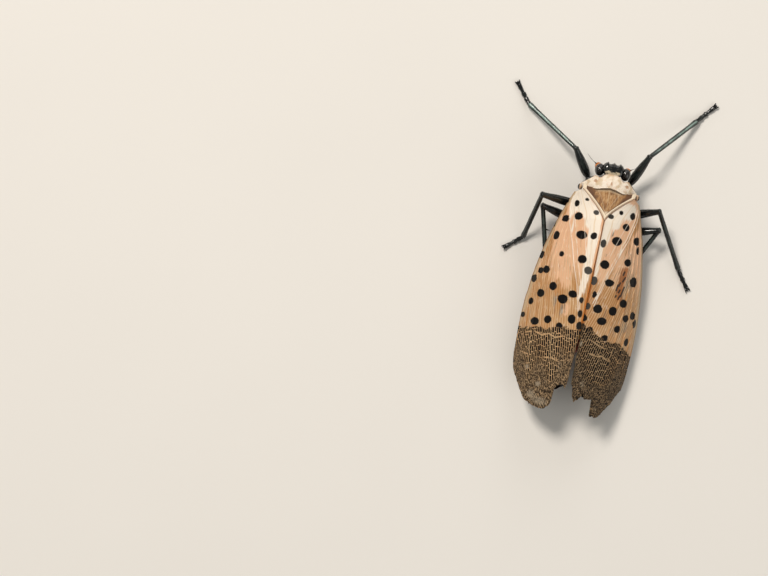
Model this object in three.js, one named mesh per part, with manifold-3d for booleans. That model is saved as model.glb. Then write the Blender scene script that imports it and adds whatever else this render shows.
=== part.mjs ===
// A spotted lanternfly at rest, life size, in millimetres: roof-like forewings folded over red hindwings,
// a short black head with round eyes and knobbed feelers, a pale collar, and six thin black legs.
// While it is modelled, X is to the insect's right, Y runs towards its head from the middle of its eyes,
// and Z is up from the floor. The finished group is then moved so that its origin is under its middle.
import * as THREE from "three";
import { mergeVertices } from "three/addons/utils/BufferGeometryUtils.js";
import Module from "manifold-3d";

const wasm = await Module();
wasm.setup();

// Driving dimensions
const GAP = 0.25; // between neighbouring pieces
const MEMBRANE = 0.5; // thickness of a wing
const VEIN_RISE = 0.13; // of a main vein over the membrane
const RIDGE_TOP = 7.5; // height of the roof where the forewings meet
const RIDGE_TOP_Y = -9;
const RIDGE_DROOP = 0.0083; // fall of the ridge for each square millimetre away from its top
const SCUTELLUM_TIP_Y = -4.95; // where the two forewings first meet
const WING_BASE_Y = -2.2;
const WING_BASE_HALF = 2.6; // half the width between the forewings' inner corners
const WING_BASE_Z = 6.0;
const COSTA_BASE_Y = -2.65;
const COSTA_BASE_HALF = 3.25;
const COSTA_BASE_Z = 4.3;
const WIDEST_Y = -16;
const WIDEST_HALF = 5.78; // half the width of the folded forewings
const TIP_NARROWING = 0.6;
const COSTA_LOW_Z = 1.4; // height of the outer margins over the floor
const COSTA_LOW_Y = -18;
const KNEE_OUT = 0.76; // where the roof turns down, as a share of its half width
const KNEE_DROP = 0.3;
const APEX_Y = -24.45; // the furthest point of an unworn wing tip
const APEX_SHARE = 0.33; // where along the wing's width the tip lies
const INNER_END_Y = -22.3;
const OUTER_END_Y = -20;
const CLAVUS_END_Y = -15.5; // where the clavus joins the inner margin
const MIDLINE_HALF_GAP = 0.11;
const TIP_SPREAD = 0.16; // extra opening between the wing tips
const HINDWING_DEPTH = MEMBRANE + GAP;
const HINDWING_BASE_Y = -6.2;
const HINDWING_SHARE = 0.86; // of the forewing's width
const EYE = { x: 1.3, y: 0, z: 4.95, across: 0.46, along: 0.56, high: 0.52 };
const KNOB = { x: 1.44, y: 0.36, z: 3.88, r: 0.39 };
const COLLAR_HALF = 2.8;
const COLLAR_THICK = 0.45;
const COLLAR_TOP = 6.6;
const COLLAR_SIDE_DROP = 2.3; // from the collar's middle to its lower corners
const FOOT_Z = 0.2; // height of a foot's axis, which is less than its radius, so that it has a flat sole
const FOOT_R = 0.27;

const COLOUR = {
  black: { color: 0x15161a, roughness: 0.38, metalness: 0 },
  eye: { color: 0x221a17, roughness: 0.25, metalness: 0 },
  orange: { color: 0xd2551a, roughness: 0.5, metalness: 0 },
  cream: { color: 0xd9c4a6, roughness: 0.6, metalness: 0 },
  brown: { color: 0x7a5b41, roughness: 0.65, metalness: 0 },
  wing: { color: 0xd2ab86, roughness: 0.55, metalness: 0 },
  scarlet: { color: 0xa8231c, roughness: 0.55, metalness: 0 },
  yellow: { color: 0xcf9a2c, roughness: 0.5, metalness: 0 },
};

const lerp = THREE.MathUtils.lerp;
const clamp = THREE.MathUtils.clamp;
const vec = (x, y, z) => new THREE.Vector3(x, y, z);

// The value at x of a line drawn through [x, value] points.
function along(points, x) {
  const next = points.findIndex(([px]) => px > x);
  if (next === 0) return points[0][1];
  if (next < 0) return points.at(-1)[1];
  const [[x0, y0], [x1, y1]] = points.slice(next - 1, next + 1);
  return lerp(y0, y1, (x - x0) / (x1 - x0));
}

// Solids

// A geometry with every vertex moved by a function, its seams merged and its faces turned outwards.
function shaped(base, place) {
  const bare = base.clone();
  bare.deleteAttribute("normal");
  bare.deleteAttribute("uv");
  const spots = bare.attributes.position;
  const v = vec(0, 0, 0);
  for (let i = 0; i < spots.count; i++) {
    place(v.fromBufferAttribute(spots, i));
    spots.setXYZ(i, v.x, v.y, v.z);
  }
  const merged = mergeVertices(bare, 1e-4);
  const kept = [];
  const index = merged.index.array;
  for (let i = 0; i < index.length; i += 3) {
    const [a, b, c] = [index[i], index[i + 1], index[i + 2]];
    if (a !== b && b !== c && c !== a) kept.push(a, b, c);
  }
  merged.setIndex(kept);
  if (volumeOf(merged) < 0) {
    for (let i = 0; i < kept.length; i += 3) [kept[i + 1], kept[i + 2]] = [kept[i + 2], kept[i + 1]];
    merged.setIndex(kept);
  }
  return merged;
}

function volumeOf(geometry) {
  const spots = geometry.attributes.position;
  const index = geometry.index.array;
  const corner = [vec(0, 0, 0), vec(0, 0, 0), vec(0, 0, 0)];
  let total = 0;
  for (let i = 0; i < index.length; i += 3) {
    corner.forEach((p, k) => p.fromBufferAttribute(spots, index[i + k]));
    total += corner[0].dot(corner[1].clone().cross(corner[2])) / 6;
  }
  return total;
}

function solidOf(geometry) {
  return new wasm.Manifold(
    new wasm.Mesh({
      numProp: 3,
      vertProperties: new Float32Array(geometry.attributes.position.array),
      triVerts: new Uint32Array(geometry.index.array),
    }),
  );
}

// The largest closed surface of a solid, as a geometry.
function geometryOf(solid) {
  const largest = solid.decompose().sort((a, b) => b.volume() - a.volume())[0];
  const mesh = largest.getMesh();
  const geometry = new THREE.BufferGeometry();
  geometry.setAttribute("position", new THREE.BufferAttribute(new Float32Array(mesh.vertProperties), 3));
  geometry.setIndex(new THREE.BufferAttribute(new Uint32Array(mesh.triVerts), 1));
  return geometry;
}

const joined = (...pieces) => geometryOf(pieces.map(solidOf).reduce((a, b) => a.add(b)));
const cut = (piece, ...tools) =>
  geometryOf(tools.map(solidOf).reduce((a, b) => a.subtract(b), solidOf(piece)));
const mirrored = (geometry) => shaped(geometry, (v) => v.setX(-v.x));

function ellipsoid(centre, halves, across = 16, up = 10) {
  return shaped(new THREE.SphereGeometry(1, across, up), (v) =>
    v.set(centre.x + halves.x * v.x, centre.y + halves.y * v.z, centre.z + halves.z * v.y),
  );
}

// A closed body with its rings across Y. A station is [y, z, half width, height above z, depth below z].
function lofted(stations, sides) {
  const last = stations.length - 1;
  return shaped(new THREE.CylinderGeometry(1, 1, 1, sides, last), (v) => {
    const [y, z, half, above, below] = stations[Math.round((0.5 - v.y) * last)];
    v.set(half * v.x, y, z + (v.z > 0 ? above : below) * v.z);
  });
}

// A round limb along a curve. Its profile is a list of [share of the length, radius].
function limb(curve, profile, sides = 8, flatten = 1) {
  const last = profile.length - 1;
  return shaped(new THREE.CylinderGeometry(1, 1, 1, sides, last), (v) => {
    const [share, radius] = profile[Math.round((0.5 - v.y) * last)];
    const way = curve.getTangentAt(share);
    const side = vec(0, 0, 1).cross(way).normalize();
    const up = way.clone().cross(side);
    const [a, b] = [v.x * radius, v.z * radius * flatten];
    v.copy(curve.getPointAt(share)).addScaledVector(side, a).addScaledVector(up, b);
  });
}

// A thin tapered spine, with its root sunk into what carries it.
function spine(root, tip, radius) {
  return limb(new THREE.LineCurve3(root, tip), [[0, radius], [0.6, radius * 0.6], [1, 0.03]], 5);
}

// The roof of the folded forewings

const ridgeZ = (y) => RIDGE_TOP - RIDGE_DROOP * (y - RIDGE_TOP_Y) ** 2;

function innerMargin(y) {
  if (y > SCUTELLUM_TIP_Y) {
    const share = (y - SCUTELLUM_TIP_Y) / (WING_BASE_Y - SCUTELLUM_TIP_Y);
    const x = lerp(MIDLINE_HALF_GAP, WING_BASE_HALF, share);
    return { x, z: lerp(ridgeZ(SCUTELLUM_TIP_Y), WING_BASE_Z, share) };
  }
  const opening = clamp((CLAVUS_END_Y - y) / (CLAVUS_END_Y - INNER_END_Y), 0, 1);
  return { x: MIDLINE_HALF_GAP + TIP_SPREAD * opening, z: ridgeZ(y) };
}

function outerMargin(y) {
  const low = clamp((y - COSTA_LOW_Y) / (COSTA_BASE_Y - COSTA_LOW_Y), 0, 1);
  const z = lerp(COSTA_LOW_Z, COSTA_BASE_Z, low ** 2.2);
  if (y < WIDEST_Y) {
    return { x: WIDEST_HALF - TIP_NARROWING * ((WIDEST_Y - y) / (WIDEST_Y - APEX_Y)) ** 2, z };
  }
  const narrow = (y - WIDEST_Y) / (COSTA_BASE_Y - WIDEST_Y);
  return { x: lerp(WIDEST_HALF, COSTA_BASE_HALF, narrow ** 2), z };
}

// A point of the roof at share s of the way from its ridge to its outer margin, at a depth under its top.
function roofPoint(y, s, depth) {
  const inner = innerMargin(y);
  const outer = outerMargin(y);
  const kneeX = lerp(inner.x, outer.x, KNEE_OUT) - 0.85 * depth;
  const kneeZ = lerp(inner.z, outer.z, KNEE_DROP) - depth;
  const [p, q, r] = [(1 - s) ** 2, 2 * s * (1 - s), s ** 2];
  return {
    x: p * inner.x + q * kneeX + r * (outer.x - depth),
    z: p * (inner.z - depth) + q * kneeZ + r * outer.z,
  };
}

// The rounded end of an unworn wing, as a height along Y for each share of the width.
function tipY(s) {
  if (s > APEX_SHARE) {
    const out = (s - APEX_SHARE) / (1 - APEX_SHARE);
    return OUTER_END_Y + (APEX_Y - OUTER_END_Y) * (1 - out ** 1.8) ** (1 / 1.8);
  }
  const inward = (APEX_SHARE - s) / APEX_SHARE;
  return INNER_END_Y + (APEX_Y - INNER_END_Y) * Math.sqrt(1 - inward ** 2);
}

// A wing's grid lines from root to tip. Each is [share at the root, share at the tip, share of the rise].
const CLAVAL_VEIN = [0.7, 0.05];
const DISC_VEINS = [[0.77, 0.24], [0.83, 0.42], [0.89, 0.62], [0.95, 0.8]];
const VEIN_HALF = { root: 0.015, tip: 0.022 }; // half of a vein's width as a share of the wing's
const CLAVUS_SHARE = 0.58; // of the wing's length, where the claval vein reaches the inner margin
const FOREWING_LINES = [
  [0, 0, 1],
  [0.03, 0.012, 1],
  [0.06, 0.02, 0],
  [0.36, 0.03, 0],
  ...veinLines(CLAVAL_VEIN, 0.4),
  ...veinLines(DISC_VEINS[0], 1),
  [0.8, 0.33, 0],
  ...veinLines(DISC_VEINS[1], 1),
  [0.86, 0.52, 0],
  ...veinLines(DISC_VEINS[2], 1),
  [0.92, 0.71, 0],
  ...veinLines(DISC_VEINS[3], 1),
  [0.97, 0.9, 0],
  [0.977, 0.96, 0],
  [0.985, 0.98, 1],
  [1, 1, 1],
];

function veinLines([root, tip], squeeze) {
  const half = VEIN_HALF.tip * squeeze;
  return [[root - VEIN_HALF.root, tip - half, 0], [root, tip, 1], [root + VEIN_HALF.root, tip + half, 0]];
}

// A line's share of the width at t from root to tip. The veins fan out from the wing's root.
function lineShare([root, tip], t) {
  const left = root < 0.74 ? Math.max(0, 1 - t / CLAVUS_SHARE) ** 1.2 : (1 - t) ** 1.6;
  return tip + (root - tip) * left;
}

function forewing() {
  const [columns, rows] = [FOREWING_LINES.length - 1, 24];
  return shaped(new THREE.BoxGeometry(1, 1, 1, columns, rows, 1), (v) => {
    const line = FOREWING_LINES[Math.round((v.x + 0.5) * columns)];
    const t = 0.5 - v.y;
    const s = lineShare(line, t);
    const y = lerp(lerp(WING_BASE_Y, COSTA_BASE_Y, s), tipY(s), t);
    const fade = clamp(t * 8, 0.3, 1) * clamp((1 - t) * 5, 0.35, 1);
    const { x, z } = roofPoint(y, s, v.z > 0 ? -VEIN_RISE * line[2] * fade : MEMBRANE);
    v.set(x, y, z);
  });
}

// A prism over an outline of [x, y] points, which cuts away what the worn wing tip has lost.
function bite(outline) {
  const shape = new THREE.Shape(outline.map(([x, y]) => new THREE.Vector2(x, y)));
  return shaped(new THREE.ExtrudeGeometry(shape, { depth: 12, bevelEnabled: false }), () => {});
}

const LEFT_LOSS = [
  [-1.32, -25.5], [-1.2, -23.9], [-1.08, -23.2], [-1.34, -22.1], [-0.78, -21.6], [-0.34, -22], [-0.1, -20.9],
  [0.6, -20.6], [0.6, -25.5],
];
const RIGHT_LOSS = [
  [-0.6, -21], [0.16, -21.3], [0.34, -22.4], [0.92, -23.2], [1.62, -22], [2.42, -22.45], [2.78, -24.2],
  [2.7, -25.5], [-0.6, -25.5],
];

// The folded hindwing lies under the forewing. Its fan folds are low pleats.
function hindwing() {
  const [columns, rows] = [14, 18];
  return shaped(new THREE.BoxGeometry(1, 1, 1, columns, rows, 1), (v) => {
    const share = (v.x + 0.5) * HINDWING_SHARE + 0.01;
    const t = 0.5 - v.y;
    const y = lerp(HINDWING_BASE_Y, lerp(tipY(share), INNER_END_Y, 0.35) + 1.2, t);
    const pleat = Math.round((v.x + 0.5) * columns) % 2 ? 0 : 0.1 * clamp(t * 6, 0, 1);
    const { x, z } = roofPoint(y, share, HINDWING_DEPTH + pleat + (v.z > 0 ? 0 : MEMBRANE));
    v.set(x, y, z);
  });
}

// Head

// Level rings from the crown down to the lip. Each is [z, front y, back y, half width].
const HEAD_RINGS = [
  [5.72, 0.36, -0.36, 0.7],
  [5.58, 0.66, -0.42, 0.94],
  [5.25, 0.82, -0.44, 1.08],
  [4.7, 0.84, -0.44, 1.08],
  [4.1, 0.82, -0.42, 1.02],
  [3.55, 0.78, -0.38, 0.96],
  [3.1, 0.7, -0.3, 0.78],
  [2.75, 0.64, -0.2, 0.52],
  [2.3, 0.5, 0, 0.34],
  [2.18, 0.46, 0.08, 0.24],
];
// The right half of a ring, from front to back. Each point is [share of the half width, share of the depth].
const RING_HALF = [
  [0, 1], [0.07, 0.97], [0.3, 0.97], [0.5, 0.95], [0.58, 1], [0.66, 0.93],
  [0.86, 0.78], [0.98, 0.4], [1, -0.1], [0.9, -0.65], [0.55, -0.98], [0, -1],
];
const FACE_RIDGES = [0, 4]; // the points of a ring that stand proud, as the face's keels do

function head() {
  const last = RING_HALF.length - 1;
  const [sides, levels] = [2 * last, HEAD_RINGS.length - 1];
  const skull = shaped(new THREE.CylinderGeometry(1, 1, 1, sides, levels), (v) => {
    const level = Math.round((0.5 - v.y) * levels);
    const [z, front, back, half] = HEAD_RINGS[level];
    const middle = (front + back) / 2;
    if (Math.hypot(v.x, v.z) < 0.5) {
      v.set(0, middle, z);
      return;
    }
    const step = Math.round((Math.atan2(v.x, v.z) / Math.PI) * last);
    const [out, deep] = RING_HALF[Math.abs(step)];
    const proud = FACE_RIDGES.includes(Math.abs(step)) && level > 0 && level < 8 ? 0.06 : 0;
    v.set(Math.sign(step) * out * half, middle + (deep * (front - back)) / 2 + proud, z);
  });
  const sockets = [-1, 1].flatMap((side) => [
    ellipsoid(vec(side * EYE.x, EYE.y, EYE.z), vec(EYE.across + GAP, EYE.along + GAP, EYE.high + GAP)),
    ellipsoid(vec(side * KNOB.x, KNOB.y, KNOB.z), vec(KNOB.r + GAP, KNOB.r + GAP, KNOB.r + GAP)),
  ]);
  return cut(skull, ...sockets);
}

function eye() {
  return ellipsoid(vec(EYE.x, EYE.y, EYE.z), vec(EYE.across, EYE.along, EYE.high), 16, 10);
}

// The knobbed feeler under the eye: a round orange knob on a short stalk, with a fine whip.
function feeler() {
  const knob = ellipsoid(vec(KNOB.x, KNOB.y, KNOB.z), vec(KNOB.r, KNOB.r, KNOB.r), 14, 9);
  const from = vec(KNOB.x + 0.2, KNOB.y + 0.15, KNOB.z);
  const whip = new THREE.QuadraticBezierCurve3(from, vec(2.25, 0.8, 4), vec(2.75, 1.35, 3.75));
  return joined(knob, limb(whip, [[0, 0.17], [0.25, 0.13], [0.6, 0.08], [1, 0.03]], 6));
}

function beak() {
  const bends = [[0.27, 1.92], [0.16, 1.6], [-0.35, 1.28], [-2, 1.12], [-8, 0.98]];
  const route = new THREE.CatmullRomCurve3(bends.map(([y, z]) => vec(0, y, z)));
  const widths = [
    [0, 0.28], [0.06, 0.3], [0.12, 0.3], [0.3, 0.28], [0.45, 0.24], [0.47, 0.28], [0.9, 0.22], [1, 0.08],
  ];
  return limb(route, widths, 10);
}

// Collar and body

// The collar's front and hind edges, as [x, y] from the middle line out. The front is notched for the eyes.
const COLLAR_FRONT = [
  [0, -0.32], [0.77, -0.46], [1.19, -0.8], [1.6, -0.72], [2, -0.95], [2.4, -1.28], [COLLAR_HALF, -1.56],
];
const COLLAR_BACK = [[0, -1.8], [0.6, -1.9], [1.4, -2.08], [2.1, -2.08], [2.55, -1.84], [COLLAR_HALF, -1.66]];

// The pale saddle behind the head.
function collar() {
  const lines = [0, 0.1, 0.4, 0.77, 1, 1.19, 1.38, 1.6, 2, 2.4, 2.66, COLLAR_HALF];
  const across = [...lines.slice(1).reverse().map((x) => -x), ...lines];
  const [columns, rows] = [across.length - 1, 5];
  return shaped(new THREE.BoxGeometry(1, 1, 1, columns, rows, 1), (v) => {
    const x = across[Math.round((v.x + 0.5) * columns)];
    const t = 0.5 - v.y;
    const y = lerp(along(COLLAR_FRONT, Math.abs(x)), along(COLLAR_BACK, Math.abs(x)), t);
    const lip = 0.3 * (1 - t) ** 3 + 0.06 * t ** 4;
    const keel = x === 0 ? 0.06 : 0;
    const top = COLLAR_TOP - 0.16 * y - COLLAR_SIDE_DROP * Math.abs(x / COLLAR_HALF) ** 2.6 - lip + keel;
    v.set(x, y, v.z > 0 ? top : top - COLLAR_THICK + lip - keel);
  });
}

// The black front of the body under the collar.
function prothorax() {
  return lofted(
    [
      [-0.68, 4, 1.2, 1.35, 1.1],
      [-0.8, 4, 1.8, 1.75, 1.4],
      [-1.1, 3.95, 2.35, 2.08, 1.55],
      [-1.6, 3.9, 2.42, 2.14, 1.55],
      [-1.8, 3.85, 2.25, 1.7, 1.5],
      [-2.0, 3.85, 2.0, 1.25, 1.3],
    ],
    18,
  );
}

// The brown shield between the forewings, with a keel along its middle.
function shield() {
  const lines = [-1, -0.7, -0.45, -0.4, -0.35, -0.03, 0, 0.03, 0.35, 0.4, 0.45, 0.7, 1];
  const [columns, rows] = [lines.length - 1, 7];
  const tip = SCUTELLUM_TIP_Y + 0.42;
  return shaped(new THREE.BoxGeometry(1, 1, 1, columns, rows, 1), (v) => {
    const u = lines[Math.round((v.x + 0.5) * columns)];
    const t = 0.5 - v.y;
    const halfAt = (y) => Math.max(0.1, innerMargin(Math.min(y, WING_BASE_Y)).x - GAP - 0.06);
    const front = along(COLLAR_BACK, Math.abs(u) * halfAt(WING_BASE_Y)) - GAP;
    const y = lerp(front, tip, t);
    const keel = Math.abs(u) < 0.01 || Math.abs(Math.abs(u) - 0.4) < 0.01 ? 0.06 * (1 - t) : 0;
    const edge = innerMargin(Math.min(y, WING_BASE_Y)).z;
    const rise = 0.75 * (1 - t) ** 0.6 * (1 - 0.35 * (1 - t) ** 4);
    v.set(u * halfAt(y), y, v.z > 0 ? edge + rise * (1 - u ** 2) + keel : edge - 0.5);
  });
}

function thorax() {
  return lofted(
    [
      [-2.3, 3.3, 1.7, 1.5, 1.0],
      [-2.5, 3.25, 2.15, 1.85, 1.15],
      [-3.4, 3.2, 2.3, 2.1, 1.2],
      [-4.6, 3.2, 2.35, 2.15, 1.2],
      [-5.8, 3.2, 2.2, 2.15, 1.2],
      [-6.9, 3.2, 2, 2.1, 1.15],
      [-7.15, 3.2, 1.7, 1.8, 1],
    ],
    18,
  );
}

// The abdomen's rings, each a little wider at its hind edge than the next one's front.
const RINGS = 7;
const ABDOMEN_FRONT_Y = -7.4;
const ABDOMEN_BACK_Y = -16.9;

function abdomen() {
  const stations = [];
  for (let ring = 0; ring < RINGS; ring++) {
    for (const [share, step] of [[0, -0.12], [0.25, 0], [0.93, 0.02]]) {
      const t = (ring + share) / RINGS;
      const girth = (0.86 + 0.14 * Math.sin(Math.PI * Math.min(1, t * 1.5 + 0.2))) * (1 - 0.58 * t ** 3);
      stations.push([
        lerp(ABDOMEN_FRONT_Y, ABDOMEN_BACK_Y, t),
        3.35 - 0.25 * t,
        2.28 * girth + step,
        1.85 * girth + step,
        1.55 * girth + step,
      ]);
    }
  }
  return lofted(stations, 18);
}

function abdomenTip() {
  return lofted(
    [
      [ABDOMEN_BACK_Y - 0.12, 3.05, 0.75, 0.62, 0.55],
      [ABDOMEN_BACK_Y - 0.5, 3.02, 0.72, 0.6, 0.55],
      [ABDOMEN_BACK_Y - 1.1, 2.95, 0.5, 0.42, 0.42],
      [ABDOMEN_BACK_Y - 1.5, 2.9, 0.24, 0.22, 0.22],
    ],
    12,
  );
}

// The small scale over each forewing's root.
function wingScale() {
  return ellipsoid(vec(3, -2, 4.95), vec(0.26, 0.24, 0.42), 10, 8);
}

// Legs. The places are the hip, where the thigh starts, the knee, the ankle and the foot's end on the floor.
const LEG_PLACES = {
  front_right: [[1.35, -1.45, 1.68], [2, -0.95, 1.6], [3.36, 2.24, 3.5], [7.5, 6.95, 0.5], [9, 8.75]],
  front_left: [[-1.35, -1.45, 1.68], [-2, -1, 1.6], [-3.9, 1.62, 2.9], [-9.35, 5.2, 0.5], [-10.8, 7]],
  middle_right: [[1.1, -4.2, 1.5], [1.8, -4.05, 1.4], [5.45, -2.85, 3.6], [8.75, -8, 0.5], [10, -9.7]],
  middle_left: [[-1.1, -3.8, 1.5], [-1.8, -3.8, 1.4], [-6.35, -3.6, 4.5], [-7.2, -8, 0.5], [-8.7, -9.3]],
  hind_right: [[1.2, -6, 1.5], [1.95, -5.7, 1.4], [5.85, -4.65, 2.8], [2.6, -11.5, 0.5], [2.2, -13.6]],
  hind_left: [[-1.2, -5.7, 1.5], [-1.95, -5.5, 1.4], [-6, -4.6, 2.8], [-3.9, -12, 0.5], [-3.6, -14.1]],
};
const THIGH_R = 0.42;
const KNEE_R = 0.28;
const SHIN_R = 0.26;
const HIP_R = 0.42;
const TROCHANTER_R = 0.33;

// A straight round piece between two distances from a point, along a direction.
function straight(from, way, start, end, profile) {
  const ends = [start, end].map((d) => from.clone().addScaledVector(way, d));
  return limb(new THREE.LineCurve3(...ends), profile);
}

// The four pieces of a leg: hip, thigh, shin and foot. Each ends in a small face that looks at the next.
function legPieces(name, places) {
  const [hip, start, knee, ankle] = places.slice(0, 4).map((place) => vec(...place));
  const toe = vec(...places[4], FOOT_Z);
  const up = knee.clone().sub(start).normalize();
  const down = ankle.clone().sub(knee).normalize();
  const bend = Math.sin(up.angleTo(down));
  const elbow = clamp((0.46 + GAP) / (bend + 0.05) - GAP, 0.36, 0.8);
  const hipPiece = joined(
    limb(new THREE.LineCurve3(hip, start), [[0, 0.26], [0.15, HIP_R], [0.7, HIP_R * 0.9], [1, 0.2]], 7),
    ellipsoid(start, vec(TROCHANTER_R, TROCHANTER_R, TROCHANTER_R), 8, 6),
  );
  const thigh = joined(
    straight(start, up, TROCHANTER_R + GAP * 0.85, start.distanceTo(knee) + 0.2, [
      [0, 0.18], [0.06, 0.3], [0.3, THIGH_R], [0.7, THIGH_R * 0.93], [0.88, 0.31], [0.97, KNEE_R], [1, 0.16],
    ]),
    straight(knee, down, -0.05, elbow, [[0, 0.1], [0.2, 0.22], [1, 0.19]]),
  );
  const shin = straight(knee, down, elbow + GAP, knee.distanceTo(ankle), [
    [0, 0.18], [0.1, SHIN_R], [0.5, SHIN_R * 0.96], [0.9, SHIN_R], [0.97, SHIN_R * 1.15], [1, 0.2],
  ]);
  const thorned = name.startsWith("hind") ? withSpines(shin, knee, ankle) : shin;
  return { hip: hipPiece, thigh, shin: thorned, foot: foot(ankle, toe) };
}

// The hind shins carry a row of short thorns on their outer side.
function withSpines(shin, knee, ankle) {
  const way = ankle.clone().sub(knee);
  const out = vec(0, 0, 1).cross(way).normalize().multiplyScalar(Math.sign(knee.x));
  const thorns = [0.3, 0.45, 0.6, 0.75, 0.9].map((share) => {
    const root = knee.clone().addScaledVector(way, share);
    return spine(root, root.clone().addScaledVector(out, -0.62).addScaledVector(way, 0.035), 0.14);
  });
  return joined(shin, ...thorns);
}

// A foot of three joints, flat where it stands, with a pair of claws.
function foot(ankle, toe) {
  const heel = ankle.clone().addScaledVector(toe.clone().sub(ankle).normalize(), GAP);
  const middle = ankle.clone().lerp(toe, 0.4).setZ(FOOT_Z);
  const route = new THREE.CatmullRomCurve3([heel, middle, toe]);
  const r = FOOT_R;
  const joints = limb(
    route,
    [
      [0, r * 0.72], [0.08, r * 0.95], [0.26, r], [0.3, r * 0.82], [0.36, r * 0.98],
      [0.5, r], [0.54, r * 0.82], [0.6, r * 0.95], [0.92, r], [1, r * 0.7],
    ],
  );
  const way = toe.clone().sub(middle).setZ(0).normalize();
  const side = vec(-way.y, way.x, 0);
  const claws = [-1, 1].map((k) => {
    const root = toe.clone().addScaledVector(way, -0.12).addScaledVector(side, 0.1 * k).setZ(FOOT_Z + 0.03);
    const tip = toe.clone().addScaledVector(way, 0.36).addScaledVector(side, 0.24 * k).setZ(0.06);
    return spine(root, tip, 0.12);
  });
  const floor = shaped(new THREE.BoxGeometry(8, 8, 2), (v) => v.add(vec(toe.x, toe.y, -1)));
  return cut(joined(joints, ...claws), floor);
}

// The part

const insect = new THREE.Group();

function add(name, geometry, look) {
  geometry.computeVertexNormals();
  const mesh = new THREE.Mesh(geometry, new THREE.MeshStandardMaterial(look));
  mesh.name = name;
  insect.add(mesh);
}

function addPair(name, geometry, look) {
  add(`${name}_right`, geometry, look);
  add(`${name}_left`, mirrored(geometry), look);
}

add("head", head(), COLOUR.black);
addPair("eye", eye(), COLOUR.eye);
addPair("antenna", feeler(), COLOUR.orange);
add("beak", beak(), COLOUR.black);
add("pronotum", collar(), COLOUR.cream);
add("prothorax", prothorax(), COLOUR.black);
add("mesonotum", shield(), COLOUR.brown);
addPair("tegula", wingScale(), COLOUR.cream);
add("thorax", thorax(), COLOUR.black);
add("abdomen", abdomen(), COLOUR.yellow);
add("abdomen_tip", abdomenTip(), COLOUR.scarlet);
add("forewing_right", cut(forewing(), bite(RIGHT_LOSS)), COLOUR.wing);
add("forewing_left", cut(mirrored(forewing()), bite(LEFT_LOSS)), COLOUR.wing);
addPair("hindwing", hindwing(), COLOUR.scarlet);
for (const [leg, places] of Object.entries(LEG_PLACES)) {
  for (const [piece, geometry] of Object.entries(legPieces(leg, places))) {
    add(`leg_${leg}_${piece}`, geometry, COLOUR.black);
  }
}

const box = new THREE.Box3().setFromObject(insect);
insect.position.set(-(box.min.x + box.max.x) / 2, -(box.min.y + box.max.y) / 2, -box.min.z);

const lanternfly = new THREE.Group();
lanternfly.add(insect);

export default lanternfly;
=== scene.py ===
"""A spotted lanternfly at rest, life size, dressed as a still model for display.

Every length is in millimetres and in the insect's own axes: X to its right, Y towards its head from the
middle of its eyes, Z up from the floor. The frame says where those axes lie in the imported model, and a
piece is turned to metres and moved there when its mesh is made.
"""

import logging
import math
from dataclasses import dataclass, field
from enum import Enum
from typing import Any, Callable, ClassVar, Sequence

import bmesh
import bpy
import numpy as np
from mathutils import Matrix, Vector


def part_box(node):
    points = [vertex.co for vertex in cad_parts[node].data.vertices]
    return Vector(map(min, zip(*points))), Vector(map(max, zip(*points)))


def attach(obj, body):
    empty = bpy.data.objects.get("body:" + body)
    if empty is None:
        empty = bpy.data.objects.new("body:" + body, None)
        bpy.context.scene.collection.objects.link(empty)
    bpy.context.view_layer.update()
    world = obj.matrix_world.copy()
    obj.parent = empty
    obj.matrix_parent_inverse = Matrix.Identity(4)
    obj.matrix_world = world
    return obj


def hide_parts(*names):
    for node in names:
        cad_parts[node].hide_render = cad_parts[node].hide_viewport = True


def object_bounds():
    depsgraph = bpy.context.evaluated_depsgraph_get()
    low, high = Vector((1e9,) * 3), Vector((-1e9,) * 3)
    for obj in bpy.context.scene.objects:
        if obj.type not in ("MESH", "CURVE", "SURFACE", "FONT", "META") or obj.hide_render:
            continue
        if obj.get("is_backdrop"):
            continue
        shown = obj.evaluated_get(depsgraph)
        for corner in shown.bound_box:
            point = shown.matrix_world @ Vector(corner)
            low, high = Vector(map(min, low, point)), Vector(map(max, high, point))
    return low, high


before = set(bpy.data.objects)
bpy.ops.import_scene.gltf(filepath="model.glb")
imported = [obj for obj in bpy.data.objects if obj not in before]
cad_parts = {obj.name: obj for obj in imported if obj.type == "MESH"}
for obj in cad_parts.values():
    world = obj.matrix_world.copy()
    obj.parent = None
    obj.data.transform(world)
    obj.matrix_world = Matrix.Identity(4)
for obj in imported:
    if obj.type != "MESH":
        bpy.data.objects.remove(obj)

CAD_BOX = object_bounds()
MM = 0.001
COLLAR_FRONT_Y = -0.32  # where the collar starts in the insect's axes, which places them in the frame
FAR = 9.0  # a distance that stands for nowhere near
SLANT = 0.74  # the distance square to the sides of the V between the wings, for 1 along X

Array = np.ndarray
Points = Sequence[Sequence[float]]
log = logging.getLogger("lanternfly")


# Small mathematics


def lerp(start: Any, end: Any, share: Any) -> Any:
    """The value a share of the way from start to end."""
    return start + (end - start) * share


def clamp(value: Any, low: float = 0.0, high: float = 1.0) -> Any:
    """The value held between two limits."""
    return np.clip(value, low, high)


def ease(value: Any, low: float, high: float) -> Any:
    """A smooth rise from 0 at low to 1 at high."""
    share = clamp((np.asarray(value, float) - low) / (high - low))
    return share * share * (3 - 2 * share)


def hump(away: Array, rise: float, breadth: float) -> Array:
    """A smooth ridge or dent: its rise at points that lie so far away from its middle line."""
    return rise * np.exp(-((away / breadth) ** 2))


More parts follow.
